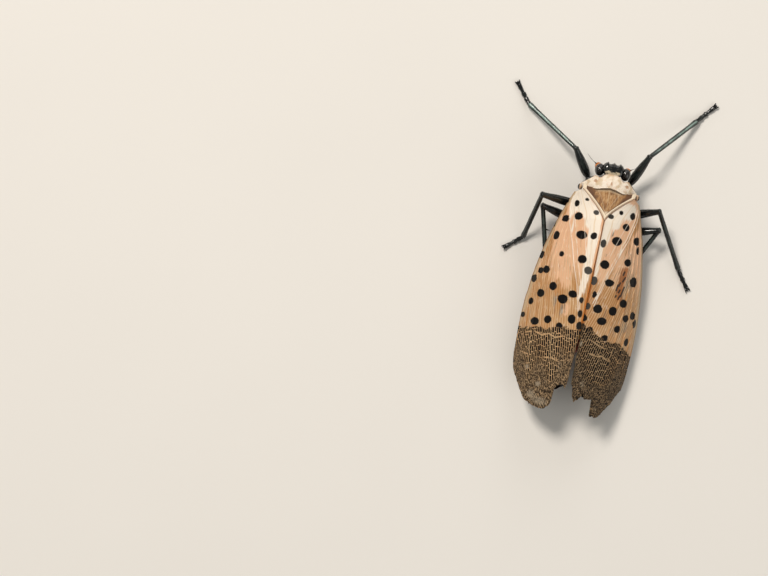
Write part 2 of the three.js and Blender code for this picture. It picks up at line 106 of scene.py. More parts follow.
def follow(points: Points, at: Any) -> Array:
    """Reads a smooth curve drawn through [place, value, ...] points.

    Args:
        points: Rows of a place and one or more values, with the places rising or falling.
        at: The places to read.

    Returns:
        One value, or one row of values, for each place. Beyond the ends the end's own value holds.
    """
    table = np.asarray(points, float)
    if table[0, 0] > table[-1, 0]:
        table = table[::-1]
    place, value = table[:, 0], table[:, 1:]
    step = np.diff(place)
    slope = np.diff(value, axis=0) / step[:, None]
    tangent = np.vstack([slope[:1], (slope[:-1] + slope[1:]) / 2, slope[-1:]])
    tangent[1:-1][slope[:-1] * slope[1:] <= 0] = 0
    x = clamp(np.asarray(at, float), place[0], place[-1])
    k = clamp(np.searchsorted(place, x, side="right") - 1, 0, len(place) - 2).astype(int)
    t = ((x - place[k]) / step[k])[..., None]
    h = step[k][..., None]
    result = (
        value[k] * (1 + 2 * t) * (1 - t) ** 2
        + tangent[k] * h * t * (1 - t) ** 2
        + value[k + 1] * t * t * (3 - 2 * t)
        + tangent[k + 1] * h * t * t * (t - 1)
    )
    return result[..., 0] if value.shape[1] == 1 else result


def smooth_path(points: Points, count: int) -> Array:
    """Evenly spaced points on a smooth curve through a few given ones.

    Args:
        points: The points to pass through.
        count: How many points to return.

    Returns:
        The curve's points, one row each.
    """
    given = np.asarray(points, float)
    gaps = np.linalg.norm(np.diff(given, axis=0), axis=1)
    reach = np.concatenate([[0], np.cumsum(gaps)])
    fine = follow(np.column_stack([reach, given]), np.linspace(0, reach[-1], count * 8))
    walked = np.concatenate([[0], np.cumsum(np.linalg.norm(np.diff(fine, axis=0), axis=1))])
    places = np.linspace(0, walked[-1], count)
    return np.column_stack([np.interp(places, walked, fine[:, k]) for k in range(3)])


def polyline_gap(points: Array, line: Points) -> Array:
    """The distance from each 2-D point to a polyline.

    Args:
        points: Rows whose first two numbers are the place.
        line: The polyline's corners.

    Returns:
        One distance for each point.
    """
    corners = np.asarray(line, float)
    best = np.full(len(points), FAR)
    for start, end in zip(corners[:-1], corners[1:]):
        way = end - start
        share = clamp(((points[:, :2] - start) @ way) / (way @ way))
        gap = np.linalg.norm(points[:, :2] - start - share[:, None] * way, axis=1)
        best = np.minimum(best, gap)
    return best


def soft_patches(points: Array, patches: Points) -> Array:
    """How strongly each 2-D point lies in any of several soft oval patches.

    Args:
        points: Rows whose first two numbers are the place.
        patches: Rows of centre x, centre y, half width, half length and strength.

    Returns:
        A number from 0 to 1 for each point.
    """
    bare = np.ones(len(points))
    for x, y, half_x, half_y, strength in patches:
        reach = ((points[:, 0] - x) / half_x) ** 2 + ((points[:, 1] - y) / half_y) ** 2
        bare *= 1 - strength * np.exp(-reach)
    return 1 - bare


def unevenness(place: Array, seed: float) -> Array:
    """A gentle wavering between about -1 and 1 along a line, made of a few waves.

    Args:
        place: Places along the line, in wavelengths of the slowest wave.
        seed: Shifts the waves, so that two lines differ.

    Returns:
        One value for each place.
    """
    waves = ((1.0, 0.5, 0.3), (2.3, 0.3, 1.7), (4.1, 0.2, 4.4))
    return sum(size * np.sin(2 * np.pi * rate * place + shift * seed) for rate, size, shift in waves)


# Colours and node trees


def linear(colour: str) -> tuple[float, float, float, float]:
    """A linear colour with full alpha from an sRGB hex value such as #F3E6D3.

    Args:
        colour: The hex value.

    Returns:
        Red, green, blue and alpha.
    """
    parts = [int(colour[k : k + 2], 16) / 255 for k in (1, 3, 5)]
    red, green, blue = (c / 12.92 if c <= 0.04045 else ((c + 0.055) / 1.055) ** 2.4 for c in parts)
    return red, green, blue, 1.0


@dataclass(frozen=True)
class Recipe:
    """A node's type, its fixed settings, its inputs or settings in the order given, and its output."""

    kind: str
    settings: tuple[tuple[str, Any], ...] = ()
    inputs: tuple[int | str, ...] = (0, 1, 2)
    output: int | str = 0


def arithmetic(operation: str) -> Recipe:
    """The recipe of one operation on numbers."""
    return Recipe("ShaderNodeMath", (("operation", operation),))


class Node(Enum):
    """The nodes that the finishes are made of."""

    PLUS = arithmetic("ADD")
    MINUS = arithmetic("SUBTRACT")
    TIMES = arithmetic("MULTIPLY")
    OVER = arithmetic("DIVIDE")
    LEAST = arithmetic("MINIMUM")
    MOST = arithmetic("MAXIMUM")
    WHOLE = arithmetic("FLOOR")
    REST = arithmetic("FRACT")
    SIZE = arithmetic("ABSOLUTE")
    STEP = Recipe("ShaderNodeMapRange", (("interpolation_type", "SMOOTHSTEP"),), (0, 1, 2, 3, 4))
    MIX = Recipe("ShaderNodeMix", (("data_type", "RGBA"),), (0, 6, 7), 2)
    MARK = Recipe("ShaderNodeAttribute", (), ("attribute_name",), "Fac")
    PLACE = Recipe("ShaderNodeTexCoord", (), (), "Object")
    STRETCH = Recipe("ShaderNodeMapping", (), ("Vector", "Scale"), 0)
    TRIO = Recipe("ShaderNodeCombineXYZ")
    NOISE = Recipe("ShaderNodeTexNoise", (), ("Vector", "Scale", "Detail", "Roughness"), 0)
    GRAINS = Recipe("ShaderNodeTexVoronoi", (), ("Vector", "Scale", "Randomness"), "Distance")
    CRACKS = Recipe(
        "ShaderNodeTexVoronoi", (("feature", "DISTANCE_TO_EDGE"),),
        ("Vector", "Scale", "Randomness"), "Distance",
    )
    CHANCE = Recipe("ShaderNodeTexWhiteNoise", (("noise_dimensions", "1D"),), ("W",), "Value")
    RELIEF = Recipe("ShaderNodeBump", (), ("Height", "Strength", "Distance"), 0)
    SURFACE = Recipe("ShaderNodeBsdfPrincipled", (), ("Base Color", "Roughness", "Normal"), 0)
    RESULT = Recipe("ShaderNodeOutputMaterial", (), ("Surface",), None)


@dataclass
class Graph:
    """A node tree under construction."""

    tree: bpy.types.NodeTree

    def add(self, recipe: Recipe | Node, *given: Any, also: dict[str, Any] | None = None) -> Any:
        """Adds one node with its settings and links.

        Args:
            recipe: What to add, as a recipe or one of the named nodes.
            given: Values, sRGB hex colours, sockets or settings, in the order of the recipe's inputs.
            also: Values or sockets for other inputs, by the input's name.

        Returns:
            The node's output socket, or the node where the recipe names no output.
        """
        plan = recipe.value if isinstance(recipe, Node) else recipe
        node = self.tree.nodes.new(plan.kind)
        for name, value in plan.settings:
            setattr(node, name, value)
        for key, value in (*zip(plan.inputs, given), *(also or {}).items()):
            if isinstance(value, bpy.types.NodeSocket):
                self.tree.links.new(value, node.inputs[key])
            elif isinstance(key, str) and hasattr(node, key):
                setattr(node, key, value)
            else:
                node.inputs[key].default_value = linear(value) if isinstance(value, str) else value
        return node if plan.output is None else node.outputs[plan.output]

    def sway(self, value: Any, reach: float) -> Any:
        """A noise's value as a sway to either side of 0, at most half of reach."""
        return self.add(Node.TIMES, self.add(Node.MINUS, value, 0.5), reach)

    def over(self, colour: Any, tint: Any, value: Any, low: float, high: float, strength: Any = 1.0) -> Any:
        """Lays a tint over a colour where a value has passed from one level to another.

        Args:
            colour: The colour below.
            tint: The colour on top.
            value: What decides where the tint shows.
            low: The value at which it starts to show.
            high: The value at which it shows in full, which may be less than low.
            strength: How strongly it covers there, as a number or a socket.

        Returns:
            The mixed colour.
        """
        mask = self.add(Node.STEP, value, low, high)
        if strength != 1.0:
            mask = self.add(Node.TIMES, mask, strength)
        return self.add(Node.MIX, mask, colour, tint)

    def place(self, *rates: float) -> Any:
        """The place on the piece in millimetres, times a rate along each axis where rates are given."""
        return self.add(Node.STRETCH, self.add(Node.PLACE), [rate / MM for rate in rates or (1, 1, 1)])


def new_material(name: str) -> tuple[bpy.types.Material, Graph]:
    """An empty node material and its graph.

    Args:
        name: The material's name.

    Returns:
        The material and the graph that fills it.
    """
    material = bpy.data.materials.new(name)
    material.use_nodes = True
    material.node_tree.nodes.clear()
    return material, Graph(material.node_tree)


# Meshes


def frame_shift() -> Array:
    """Where the insect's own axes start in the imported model, in millimetres."""
    low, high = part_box("pronotum")
    return np.array([(low[0] + high[0]) / 2 / MM, high[1] / MM - COLLAR_FRONT_Y, 0.0])


SHIFT = frame_shift()


@dataclass
class Surface:
    """A closed mesh under construction: its points, its faces and named marks of one number a point."""

    points: Array
    faces: list[Sequence[int]]
    marks: dict[str, Array] = field(default_factory=dict)

    def joined(self, *others: "Surface") -> "Surface":
        """This surface and others as one, with missing marks set to 0.

        Args:
            others: What to join on.

        Returns:
            The one surface.
        """
        every = (self, *others)
        names = {name for one in every for name in one.marks}
        marks = {
            name: np.concatenate([one.marks.get(name, np.zeros(len(one.points))) for one in every])
            for name in names
        }
        starts = np.cumsum([0, *(len(one.points) for one in every[:-1])])
        faces = []
        for one, start in zip(every, starts):
            faces += [tuple(int(corner + start) for corner in face) for face in one.faces]
        return Surface(np.vstack([one.points for one in every]), faces, marks)

    def standing(self) -> "Surface":
        """The same surface with nothing below the floor, so that its soles are flat."""
        self.points[:, 2] = np.maximum(self.points[:, 2], 0)
        return self

    def mesh(self, name: str, crease: float = 50) -> bpy.types.Mesh:
        """Makes the Blender mesh, in metres and in its place in the frame.

        Args:
            name: The mesh's name.
            crease: Edges that turn by more degrees than this are shaded sharp.

        Returns:
            The mesh, with its faces turned outwards and its marks as attributes.
        """
        mesh = bpy.data.meshes.new(name)
        mesh.from_pydata(((self.points + SHIFT) * MM).tolist(), [], self.faces)
        for mark, values in self.marks.items():
            mesh.attributes.new(mark, "FLOAT", "POINT").data.foreach_set("value", values.astype(np.float32))
        shell = bmesh.new()
        shell.from_mesh(mesh)
        bmesh.ops.recalc_face_normals(shell, faces=shell.faces)
        shell.to_mesh(mesh)
        shell.free()
        mesh.shade_smooth()
        mesh.set_sharp_from_angle(angle=math.radians(crease))
        return mesh


def present(mesh: bpy.types.Mesh, material: bpy.types.Material, slot: str, *nodes: str) -> bpy.types.Object:
    """Puts a finished mesh on show.

    Args:
        mesh: The piece's mesh, whose name the piece takes.
        material: Its finish.
        slot: The record's material slot that it stands for; not used.
        nodes: The solids of the frame that it replaces.

    Returns:
        The piece, riding on the one body.
    """
    mesh.materials.clear()
    mesh.materials.append(material)
    piece = bpy.data.objects.new(mesh.name, mesh)
    bpy.context.scene.collection.objects.link(piece)
    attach(piece, "root")
    if nodes:
        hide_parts(*nodes)
    log.info("%s: %d faces, finish %s", piece.name, len(mesh.polygons), material.name)
    return piece


def plate(top: Array, under: Array, marks: dict[str, Array]) -> Surface:
    """A closed plate between two grids of points.

    Args:
        top: Points by row and column.
        under: As many points for the other face.
        marks: Values by row and column, which both faces take.

    Returns:
        The two faces joined round their edge.
    """
    rows, columns = top.shape[:2]
    count = rows * columns
    index = np.arange(count).reshape(rows, columns)
    corners = (index[:-1, :-1], index[:-1, 1:], index[1:, 1:], index[1:, :-1])
    upper = np.stack(corners, -1).reshape(-1, 4)
    rim = np.concatenate([index[0], index[1:, -1], index[-1, -2::-1], index[-2:0:-1, 0]])
    after = np.roll(rim, -1)
    side = np.stack([after, rim, rim + count, after + count], -1)
    faces = np.vstack([upper, upper[:, ::-1] + count, side])
    both = {name: np.tile(np.asarray(values, float).reshape(-1), 2) for name, values in marks.items()}
    return Surface(np.vstack([top.reshape(-1, 3), under.reshape(-1, 3)]), faces.tolist(), both)


def tube(rings: Array) -> Surface:
    """A closed body from rings of points, with a middle point at each end.

    Args:
        rings: Points by ring and by place round the ring.

    Returns:
        The rings joined in order and capped.
    """
    levels, sides = rings.shape[:2]
    index = np.arange(levels * sides).reshape(levels, sides)
    beside = np.roll(index, -1, axis=1)
    walls = np.stack([index[:-1], beside[:-1], beside[1:], index[1:]], -1).reshape(-1, 4).tolist()
    ends = np.vstack([rings[0].mean(axis=0), rings[-1].mean(axis=0)])
    first, last = levels * sides, levels * sides + 1
    caps = [(first, int(b), int(a)) for a, b in zip(index[0], beside[0])]
    caps += [(last, int(a), int(b)) for a, b in zip(index[-1], beside[-1])]
    return Surface(np.vstack([rings.reshape(-1, 3), ends]), walls + caps)


def turned_frames(path: Array) -> tuple[Array, Array]:
    """Two directions across a path at each of its points, turning no more than the path does.

    Args:
        path: Points along the path.

    Returns:
        The sideways and the upward direction, one row each for each point.
    """
    way = np.gradient(path, axis=0)
    way /= np.linalg.norm(way, axis=1)[:, None]
    start = np.array([0, 0, 1.0]) if abs(way[0, 2]) < 0.95 else np.array([0, 1.0, 0])
    side = np.cross(start, way[0])
    sides = []
    for here in way:
        side = side - here * (side @ here)
        side = side / np.linalg.norm(side)
        sides.append(side)
    side_rows = np.array(sides)
    return side_rows, np.cross(way, side_rows)


@dataclass(frozen=True)
class Section:
    """The shape of a limb across its length."""

    sides: int = 20
    flatten: float = 1.0  # height over width
    ridges: int = 0  # how many keels run along it
    ridge_rise: float = 0.0  # their height as a share of the radius


def limb(bends: Points, profile: Points, section: Section = Section(), count: int = 40) -> Surface:
    """A closed limb along a smooth curve.

    Args:
        bends: The points that its axis passes through.
        profile: Rows of a share of the length and the radius there.
        section: Its shape across.
        count: How many rings it has.

    Returns:
        The limb, with the share of its length as the mark "reach" and how far it faces up as "upper".
    """
    table = np.asarray(profile, float)
    share = np.unique(np.concatenate([np.linspace(0, 1, count), table[:, 0]]))
    path = smooth_path(bends, 200)
    axis = np.column_stack([np.interp(share, np.linspace(0, 1, 200), path[:, k]) for k in range(3)])
    side, up = turned_frames(axis)
    angle = np.linspace(0, 2 * np.pi, section.sides, endpoint=False)
    keel = 1 + section.ridge_rise * np.cos(section.ridges * angle)
    radius = np.maximum(follow(profile, share), 0.002)[:, None] * keel
    across = (radius * np.cos(angle))[..., None] * side[:, None]
    upward = (radius * np.sin(angle) * section.flatten)[..., None] * up[:, None]
    surface = tube(axis[:, None] + across + upward)
    surface.marks["reach"] = np.concatenate([np.repeat(share, section.sides), [0, 1]])
    facing = (across + upward)[..., 2] / radius
    surface.marks["upper"] = np.concatenate([facing.reshape(-1), [0, 0]])
    return surface


def loft(stations: Points, sides: int, levels: int) -> Array:
    """Smooth rings across Y from a few stations.

    Args:
        stations: Rows of y, z, half width, height above z and depth below z.
        sides: Points round a ring.
        levels: How many rings.

    Returns:
        Points by ring and by place round the ring.
    """
    table = np.asarray(stations, float)
    reach = np.concatenate([[0], np.cumsum(np.abs(np.diff(table[:, 0])) + 0.02)])
    rows = follow(np.column_stack([reach, table]), np.linspace(0, reach[-1], levels))
    y, z, half, above, below = rows.T[..., None]
    angle = np.linspace(0, 2 * np.pi, sides, endpoint=False)
    x = half * np.cos(angle)
    up = np.sin(angle)
    return np.stack([x, np.broadcast_to(y, x.shape), z + np.where(up > 0, above, below) * up], -1)


def ball(centre: Points, halves: Points, sides: int = 32, levels: int = 20) -> Surface:
    """A smooth oval body, closed at its poles.

    Args:
        centre: Its middle.
        halves: Half its size along X, Y and Z.
        sides: Points round it.
        levels: Rings from pole to pole.

    Returns:
        The body.
    """
    fall = np.linspace(0.06, np.pi - 0.06, levels)[:, None]
    round_ = np.linspace(0, 2 * np.pi, sides, endpoint=False)
    ball_x = np.sin(fall) * np.cos(round_)
    ball_y = np.sin(fall) * np.sin(round_)
    unit = np.stack([ball_x, ball_y, np.broadcast_to(np.cos(fall), ball_x.shape)], -1)
    return tube(np.asarray(centre) + unit * np.asarray(halves))


# Where things are


class Side(Enum):
    """Which side of the body a paired piece is on."""

    RIGHT = 1
    LEFT = -1

    @property
    def word(self) -> str:
        """The side as it ends a node's name."""
        return self.name.lower()


@dataclass(frozen=True)
class Viewpoint:
    """The photograph's camera: straight above, off to the insect's left, and turned against its body."""

    x: float = -19.8
    y: float = -15.93
    z: float = 305.0
    level: float = 5.0  # the height that the readings from the photograph are given at
    twist: float = 11.93  # degrees
    lens: float = 142.0

    def seen(self, points: Array) -> Array:
        """Where points appear from the camera, as places at the reading level.

        Args:
            points: Points in the insect's own axes.

        Returns:
            Their X and Y at the reading level.
        """
        scale = (self.z - self.level) / (self.z - points[..., 2:3])
        centre = np.array([self.x, self.y])
        return centre + (points[..., :2] - centre) * scale

    def real_y(self, seen_y: Array, z: Array) -> Array:
        """The Y of a point that appears at seen_y and lies at height z."""
        return self.y + (seen_y - self.y) * (self.z - z) / (self.z - self.level)


VIEW = Viewpoint()


@dataclass(frozen=True)
class Roof:
    """The tent-shaped surface that the folded forewings follow."""

    ridge_top: float = 7.5
    ridge_top_y: float = -9.0
    ridge_droop: float = 0.0083
    scutellum_tip_y: float = -4.95  # where the two forewings first meet
    base_y: float = -2.2
    base_half: float = 2.6
    v_bend: float = 1.3  # bends the V's sides towards the shield
    base_z: float = 6.0
    costa_base_y: float = -2.65
    costa_base_half: float = 3.25
    costa_base_z: float = 4.3
    widest_y: float = -16.0
    widest_half: float = 5.78
    tip_narrowing: float = 0.6
    costa_low_z: float = 1.4
    costa_low_y: float = -18.0
    knee_out: float = 0.76
    knee_drop: float = 0.3
    apex_y: float = -24.45
    apex_share: float = 0.33
    inner_end_y: float = -22.3
    outer_end_y: float = -20.0
    clavus_end_y: float = -15.5
    half_gap: float = 0.03  # the forewings of the dressed model meet more closely than its solids do
    tip_spread: float = 0.2

    def ridge(self, y: Array) -> Array:
        """The height of the ridge."""
        return self.ridge_top - self.ridge_droop * (y - self.ridge_top_y) ** 2

    def inner(self, y: Array) -> tuple[Array, Array]:
        """The inner margin's distance from the middle, and its height.

        Args:
            y: Places along the body.

        Returns:
            X and Z at each place.
        """
        share = clamp((y - self.scutellum_tip_y) / (self.base_y - self.scutellum_tip_y))
        opening = clamp((self.clavus_end_y - y) / (self.clavus_end_y - self.inner_end_y))
        x = lerp(self.half_gap, self.base_half, share**self.v_bend) + self.tip_spread * opening
        tip_z = self.ridge(self.scutellum_tip_y)
        return x, np.where(share > 0, lerp(tip_z, self.base_z, share), self.ridge(y))

    def outer(self, y: Array) -> tuple[Array, Array]:
        """The outer margin's distance from the middle, and its height.

        Args:
            y: Places along the body.

        Returns:
            X and Z at each place.
        """
        low = clamp((y - self.costa_low_y) / (self.costa_base_y - self.costa_low_y))
        z = lerp(self.costa_low_z, self.costa_base_z, low**2.2)
        behind = clamp((self.widest_y - y) / (self.widest_y - self.apex_y), 0, 2)
        narrow = clamp((y - self.widest_y) / (self.costa_base_y - self.widest_y), 0, 2)
        x = lerp(self.widest_half, self.costa_base_half, narrow**2) - self.tip_narrowing * behind**2
        return x, z

    def at(self, y: Array, share: Array, depth: Array) -> Array:
        """Points of the roof.

        Args:
            y: Their places along the body.
            share: How far each is from the ridge, 0, to the outer margin, 1.
            depth: How far each is under the roof's top.

        Returns:
            Points of the right half.
        """
        inner_x, inner_z = self.inner(y)
        outer_x, outer_z = self.outer(y)
        knee_x = lerp(inner_x, outer_x, self.knee_out) - 0.85 * depth
        knee_z = lerp(inner_z, outer_z, self.knee_drop) - depth
        p, q, r = (1 - share) ** 2, 2 * share * (1 - share), share**2
        x = p * inner_x + q * knee_x + r * (outer_x - depth)
        z = p * (inner_z - depth) + q * knee_z + r * outer_z
        return np.stack([x, np.broadcast_to(y, x.shape), z], -1)

    def root(self, share: Array) -> Array:
        """The Y of the wing's root for a share of its width."""
        return lerp(self.base_y, self.costa_base_y, share)

    def tip(self, share: Array) -> Array:
        """The Y of an unworn wing's rounded end for a share of its width.

        Args:
            share: Shares of the width.

        Returns:
            One Y for each.
        """
        out = clamp((share - self.apex_share) / (1 - self.apex_share))
        inward = clamp((self.apex_share - share) / self.apex_share)
        beyond = self.outer_end_y + (self.apex_y - self.outer_end_y) * (1 - out**1.8) ** (1 / 1.8)
        within = self.inner_end_y + (self.apex_y - self.inner_end_y) * np.sqrt(1 - inward**2)
        return np.where(share > self.apex_share, beyond, within)


ROOF = Roof()


# Forewings

# Spots as they appear in the photograph: centre x, centre y, half width, half length, blackness.
SPOTS = {
    Side.LEFT: (
        (-2.85, -3.8, 0.27, 0.29, 1), (-1.9, -3.17, 0.13, 0.11, 0.8), (-3.89, -3.67, 0.1, 0.12, 1),
        (-3.6, -5.42, 0.32, 0.32, 1), (-2.4, -5.0, 0.35, 0.35, 1), (-0.76, -4.27, 0.25, 0.2, 0.6),
        (-4.61, -6.16, 0.1, 0.26, 1), (-4.26, -7.29, 0.4, 0.43, 1), (-1.75, -6.7, 0.47, 0.4, 1),
        (-0.55, -6.58, 0.28, 0.33, 0.9), (-3.25, -9.0, 0.21, 0.23, 1), (-5.16, -9.47, 0.15, 0.35, 1),
        (-1.14, -9.09, 0.39, 0.42, 1), (-4.46, -10.79, 0.28, 0.36, 1), (-5.0, -11.01, 0.21, 0.29, 1),
        (-0.36, -10.07, 0.36, 0.36, 0.55), (-5.42, -11.93, 0.2, 0.36, 0.9), (-3.48, -12.28, 0.35, 0.39, 1),
        (-4.54, -13.22, 0.33, 0.37, 1), (-5.36, -14.17, 0.4, 0.33, 1), (-1.44, -12.63, 0.42, 0.33, 1),
        (-2.21, -13.35, 0.44, 0.44, 1), (-0.42, -13.05, 0.19, 0.26, 0.8), (-0.26, -14.43, 0.21, 0.33, 0.85),
        (-4.55, -16.02, 0.5, 0.35, 1), (-3.3, -15.62, 0.32, 0.38, 1), (-0.92, -15.1, 0.34, 0.44, 1),
        (-2.05, -16.0, 0.31, 0.31, 0.9), (-5.8, -15.67, 0.17, 0.26, 0.9), (-0.12, -15.62, 0.25, 0.42, 0.85),
    ),
    Side.RIGHT: (
        (0.76, -4.35, 0.26, 0.19, 0.7), (1.67, -3.77, 0.19, 0.19, 0.9), (2.86, -3.92, 0.26, 0.31, 1),
        (2.43, -5.1, 0.34, 0.34, 1), (1.83, -6.64, 0.48, 0.42, 1), (0.52, -7.13, 0.28, 0.37, 0.65),
        (3.72, -6.27, 0.3, 0.38, 1), (4.07, -7.14, 0.28, 0.35, 1), (1.15, -9.12, 0.45, 0.42, 1),
        (3.27, -8.54, 0.35, 0.33, 1), (0.36, -10.95, 0.33, 0.4, 0.55), (1.94, -10.8, 0.44, 0.34, 1),
        (4.27, -10.3, 0.37, 0.47, 1), (0.72, -12.24, 0.19, 0.31, 0.95), (3.73, -12.56, 0.35, 0.39, 1),
        (0.27, -13.52, 0.21, 0.31, 0.65), (1.28, -13.56, 0.43, 0.42, 1), (2.83, -13.52, 0.38, 0.41, 1),
        (4.84, -13.58, 0.24, 0.36, 1), (4.24, -13.96, 0.29, 0.35, 1), (2.03, -14.75, 0.45, 0.35, 1),
        (0.23, -14.72, 0.21, 0.31, 0.9), (3.63, -15.17, 0.3, 0.35, 1), (1.09, -15.76, 0.31, 0.31, 0.95),
        (2.53, -16.26, 0.31, 0.31, 1), (4.78, -16.25, 0.21, 0.38, 1), (5.18, -14.32, 0.2, 0.42, 0.9),
        (0.1, -15.65, 0.2, 0.38, 0.85),
    ),
}

# Where the dark net of the wing's end starts, as x and y.
NET_START = {
    Side.LEFT: (
        (-6.2, -17.0), (-5.13, -16.75), (-4.14, -16.44), (-3.22, -16.54), (-2.31, -16.15), (-1.56, -15.89),
        (-0.71, -16.11), (-0.14, -15.99),
    ),
    Side.RIGHT: (
        (0.1, -15.45), (0.9, -15.67), (1.67, -16.01), (2.57, -16.52), (3.38, -16.55), (4.07, -16.5),
        (4.54, -16.81), (5.6, -17.6),
    ),
}

# Where the net keeps its long black cells: centre x, centre y, half width, half length, strength.
CLEAR_NET = {
    Side.LEFT: (
        (-2.5, -17.4, 0.5, 1.1, 1), (-2.2, -18.8, 0.42, 1.3, 1), (-1.85, -20.5, 0.36, 1.4, 1),
        (-4.5, -18.2, 0.32, 1.3, 0.9), (-4.1, -20.2, 0.28, 1.5, 0.9), (-3.6, -17.4, 0.4, 0.6, 0.6),
        (-0.9, -17.0, 0.4, 0.7, 0.7),
    ),
    Side.RIGHT: (
        (2.0, -17.0, 0.6, 0.9, 1), (1.5, -18.1, 0.5, 0.8, 1), (2.7, -18.4, 0.7, 1.1, 1),
        (3.0, -19.8, 0.6, 1.0, 1), (2.1, -19.7, 0.45, 0.9, 0.9), (0.9, -16.6, 0.5, 0.7, 0.7),
        (3.6, -17.4, 0.5, 0.6, 0.7),
    ),
}

# Where the net is worn to pale wax, in the same way.
WORN_NET = {
    Side.LEFT: (
        (-2.95, -22.05, 0.34, 0.3, 1), (-4.34, -20.6, 0.2, 0.3, 1), (-2.4, -23.7, 1.1, 0.6, 0.75),
        (-3.5, -23.1, 0.6, 0.6, 0.7), (-1.2, -19.9, 0.3, 0.9, 0.5),
    ),
    Side.RIGHT: ((1.37, -21.2, 0.4, 0.7, 0.6), (0.45, -17.3, 0.18, 0.35, 0.9), (3.1, -23.4, 0.4, 0.5, 0.5)),
}

# Fine pale veins that run on over the spots.
FINE_VEINS = {
    Side.LEFT: ((-2.0, -4.2), (-1.7, -5.6), (-1.0, -8.2)),
    Side.RIGHT: ((2.75, -4.2), (2.63, -4.56), (2.2, -5.8), (1.78, -7.15), (1.45, -8.3)),
}

# Pale cross lines in the net.
CROSS_LINES = {
    Side.LEFT: (
        (
            (-5.2, -17.3), (-4.4, -17.0), (-3.5, -17.25), (-2.9, -16.95),
            (-2.2, -17.2), (-1.4, -16.9), (-0.6, -17.15),
        ),
        (
            (-5.36, -19.2), (-4.6, -19.35), (-3.76, -19.66), (-2.9, -19.35),
            (-2.04, -19.3), (-1.4, -19.5), (-0.68, -19.11),
        ),
    ),
    Side.RIGHT: (
        ((0.5, -16.9), (1.3, -16.75), (2.1, -17.1), (2.8, -17.3)),
        ((1.52, -18.14), (2.1, -18.2), (2.71, -18.09), (3.3, -18.4), (3.8, -18.51), (4.6, -18.4)),
    ),
}

# Patches of the ground colour: centre x, centre y, half width, half length, strength.
CREAM = {
    Side.LEFT: (
        (-2.3, -3.5, 0.9, 1.2, 1), (-3.0, -2.95, 0.8, 0.7, 1), (-1.2, -4.6, 0.7, 1.2, 1),
        (-0.6, -6.0, 0.6, 2.2, 1), (-0.55, -8.6, 0.5, 2.6, 0.9), (-3.2, -4.4, 0.3, 1.2, 0.7),
        (-2.75, -6.3, 0.16, 1.6, 0.5), (-2.1, -8.8, 0.14, 1.8, 0.35), (-0.5, -11.0, 0.3, 1.8, 0.85),
        (-0.75, -12.4, 0.16, 1.2, 0.6), (-3.5, -13.6, 0.3, 1.0, 0.35), (-4.9, -15.2, 0.5, 1.0, 0.35),
        (-2.6, -15.2, 0.5, 0.7, 0.3),
    ),
    Side.RIGHT: (
        (2.3, -3.5, 0.9, 0.9, 1), (1.1, -4.5, 0.7, 0.9, 1), (0.65, -5.8, 0.5, 1.5, 1),
        (0.4, -8.2, 0.35, 1.8, 0.85), (1.5, -4.6, 0.4, 0.9, 0.7), (0.3, -10.2, 0.3, 1.4, 0.6),
        (2.4, -7.6, 0.2, 1.6, 0.5), (1.6, -10.2, 0.25, 1.4, 0.5), (1.0, -12.4, 0.35, 0.9, 0.5),
        (2.7, -5.2, 0.3, 1.0, 0.4),
    ),
}
PINK = {
    Side.LEFT: (
        (-3.5, -6.6, 0.8, 1.9, 1), (-2.9, -9.6, 0.8, 2.2, 0.95), (-2.0, -7.6, 0.5, 2.2, 1),
        (-1.2, -8.3, 0.5, 2.0, 0.45), (-2.2, -11.8, 0.6, 1.2, 0.6), (-1.6, -14.2, 0.5, 1.0, 0.75),
        (-3.9, -11.6, 0.6, 1.2, 0.4), (-2.1, -5.9, 0.5, 0.7, 0.5),
    ),
    Side.RIGHT: (
        (1.3, -7.2, 0.7, 1.2, 0.95), (1.0, -10.0, 0.5, 1.1, 0.95), (2.1, -7.8, 0.6, 1.6, 0.7),
        (2.0, -5.6, 0.6, 0.7, 0.5), (2.6, -9.4, 0.6, 1.5, 0.5), (1.4, -12.0, 0.4, 0.9, 0.5),
        (0.7, -13.0, 0.4, 0.8, 0.5),
    ),
}
OCHRE = {
    Side.LEFT: (
        (-4.7, -8.6, 0.5, 2.4, 0.75), (-4.9, -12.6, 0.5, 2.0, 0.7), (-2.9, -14.4, 0.4, 1.6, 0.5),
        (-3.9, -4.5, 0.3, 1.0, 0.8), (-5.4, -16.2, 0.5, 1.0, 0.6), (-0.35, -13.8, 0.3, 1.6, 0.6),
    ),
    Side.RIGHT: (
        (0.55, -14.2, 0.6, 1.6, 0.95), (1.9, -13.6, 0.7, 1.4, 0.8), (3.0, -7.0, 0.5, 2.0, 0.5),
        (3.4, -4.6, 0.3, 1.2, 0.9), (3.2, -13.9, 0.5, 1.4, 0.6), (1.2, -15.2, 0.8, 0.8, 0.8),
        (4.4, -12.0, 0.4, 2.0, 0.5), (2.3, -11.9, 0.5, 1.0, 0.6),
    ),
}
ASH = {
    Side.LEFT: (
        (-3.0, -13.6, 0.35, 1.0, 0.6), (-2.2, -14.5, 0.25, 0.8, 0.6), (-4.1, -8.9, 0.35, 1.6, 0.35),
        (-3.8, -12.9, 0.4, 1.3, 0.35), (-5.1, -14.9, 0.4, 1.6, 0.4), (-1.35, -7.8, 0.25, 0.4, 0.4),
    ),
    Side.RIGHT: (
        (3.7, -10.4, 0.7, 2.4, 0.55), (4.2, -14.8, 0.7, 1.6, 0.5), (3.4, -7.5, 0.4, 1.4, 0.35),
        (2.7, -11.3, 0.4, 1.6, 0.4), (1.3, -6.0, 0.25, 0.5, 0.5), (1.0, -8.2, 0.2, 0.4, 0.5),
        (0.75, -13.0, 0.2, 0.4, 0.5), (3.1, -15.6, 0.5, 0.8, 0.4),
    ),
}

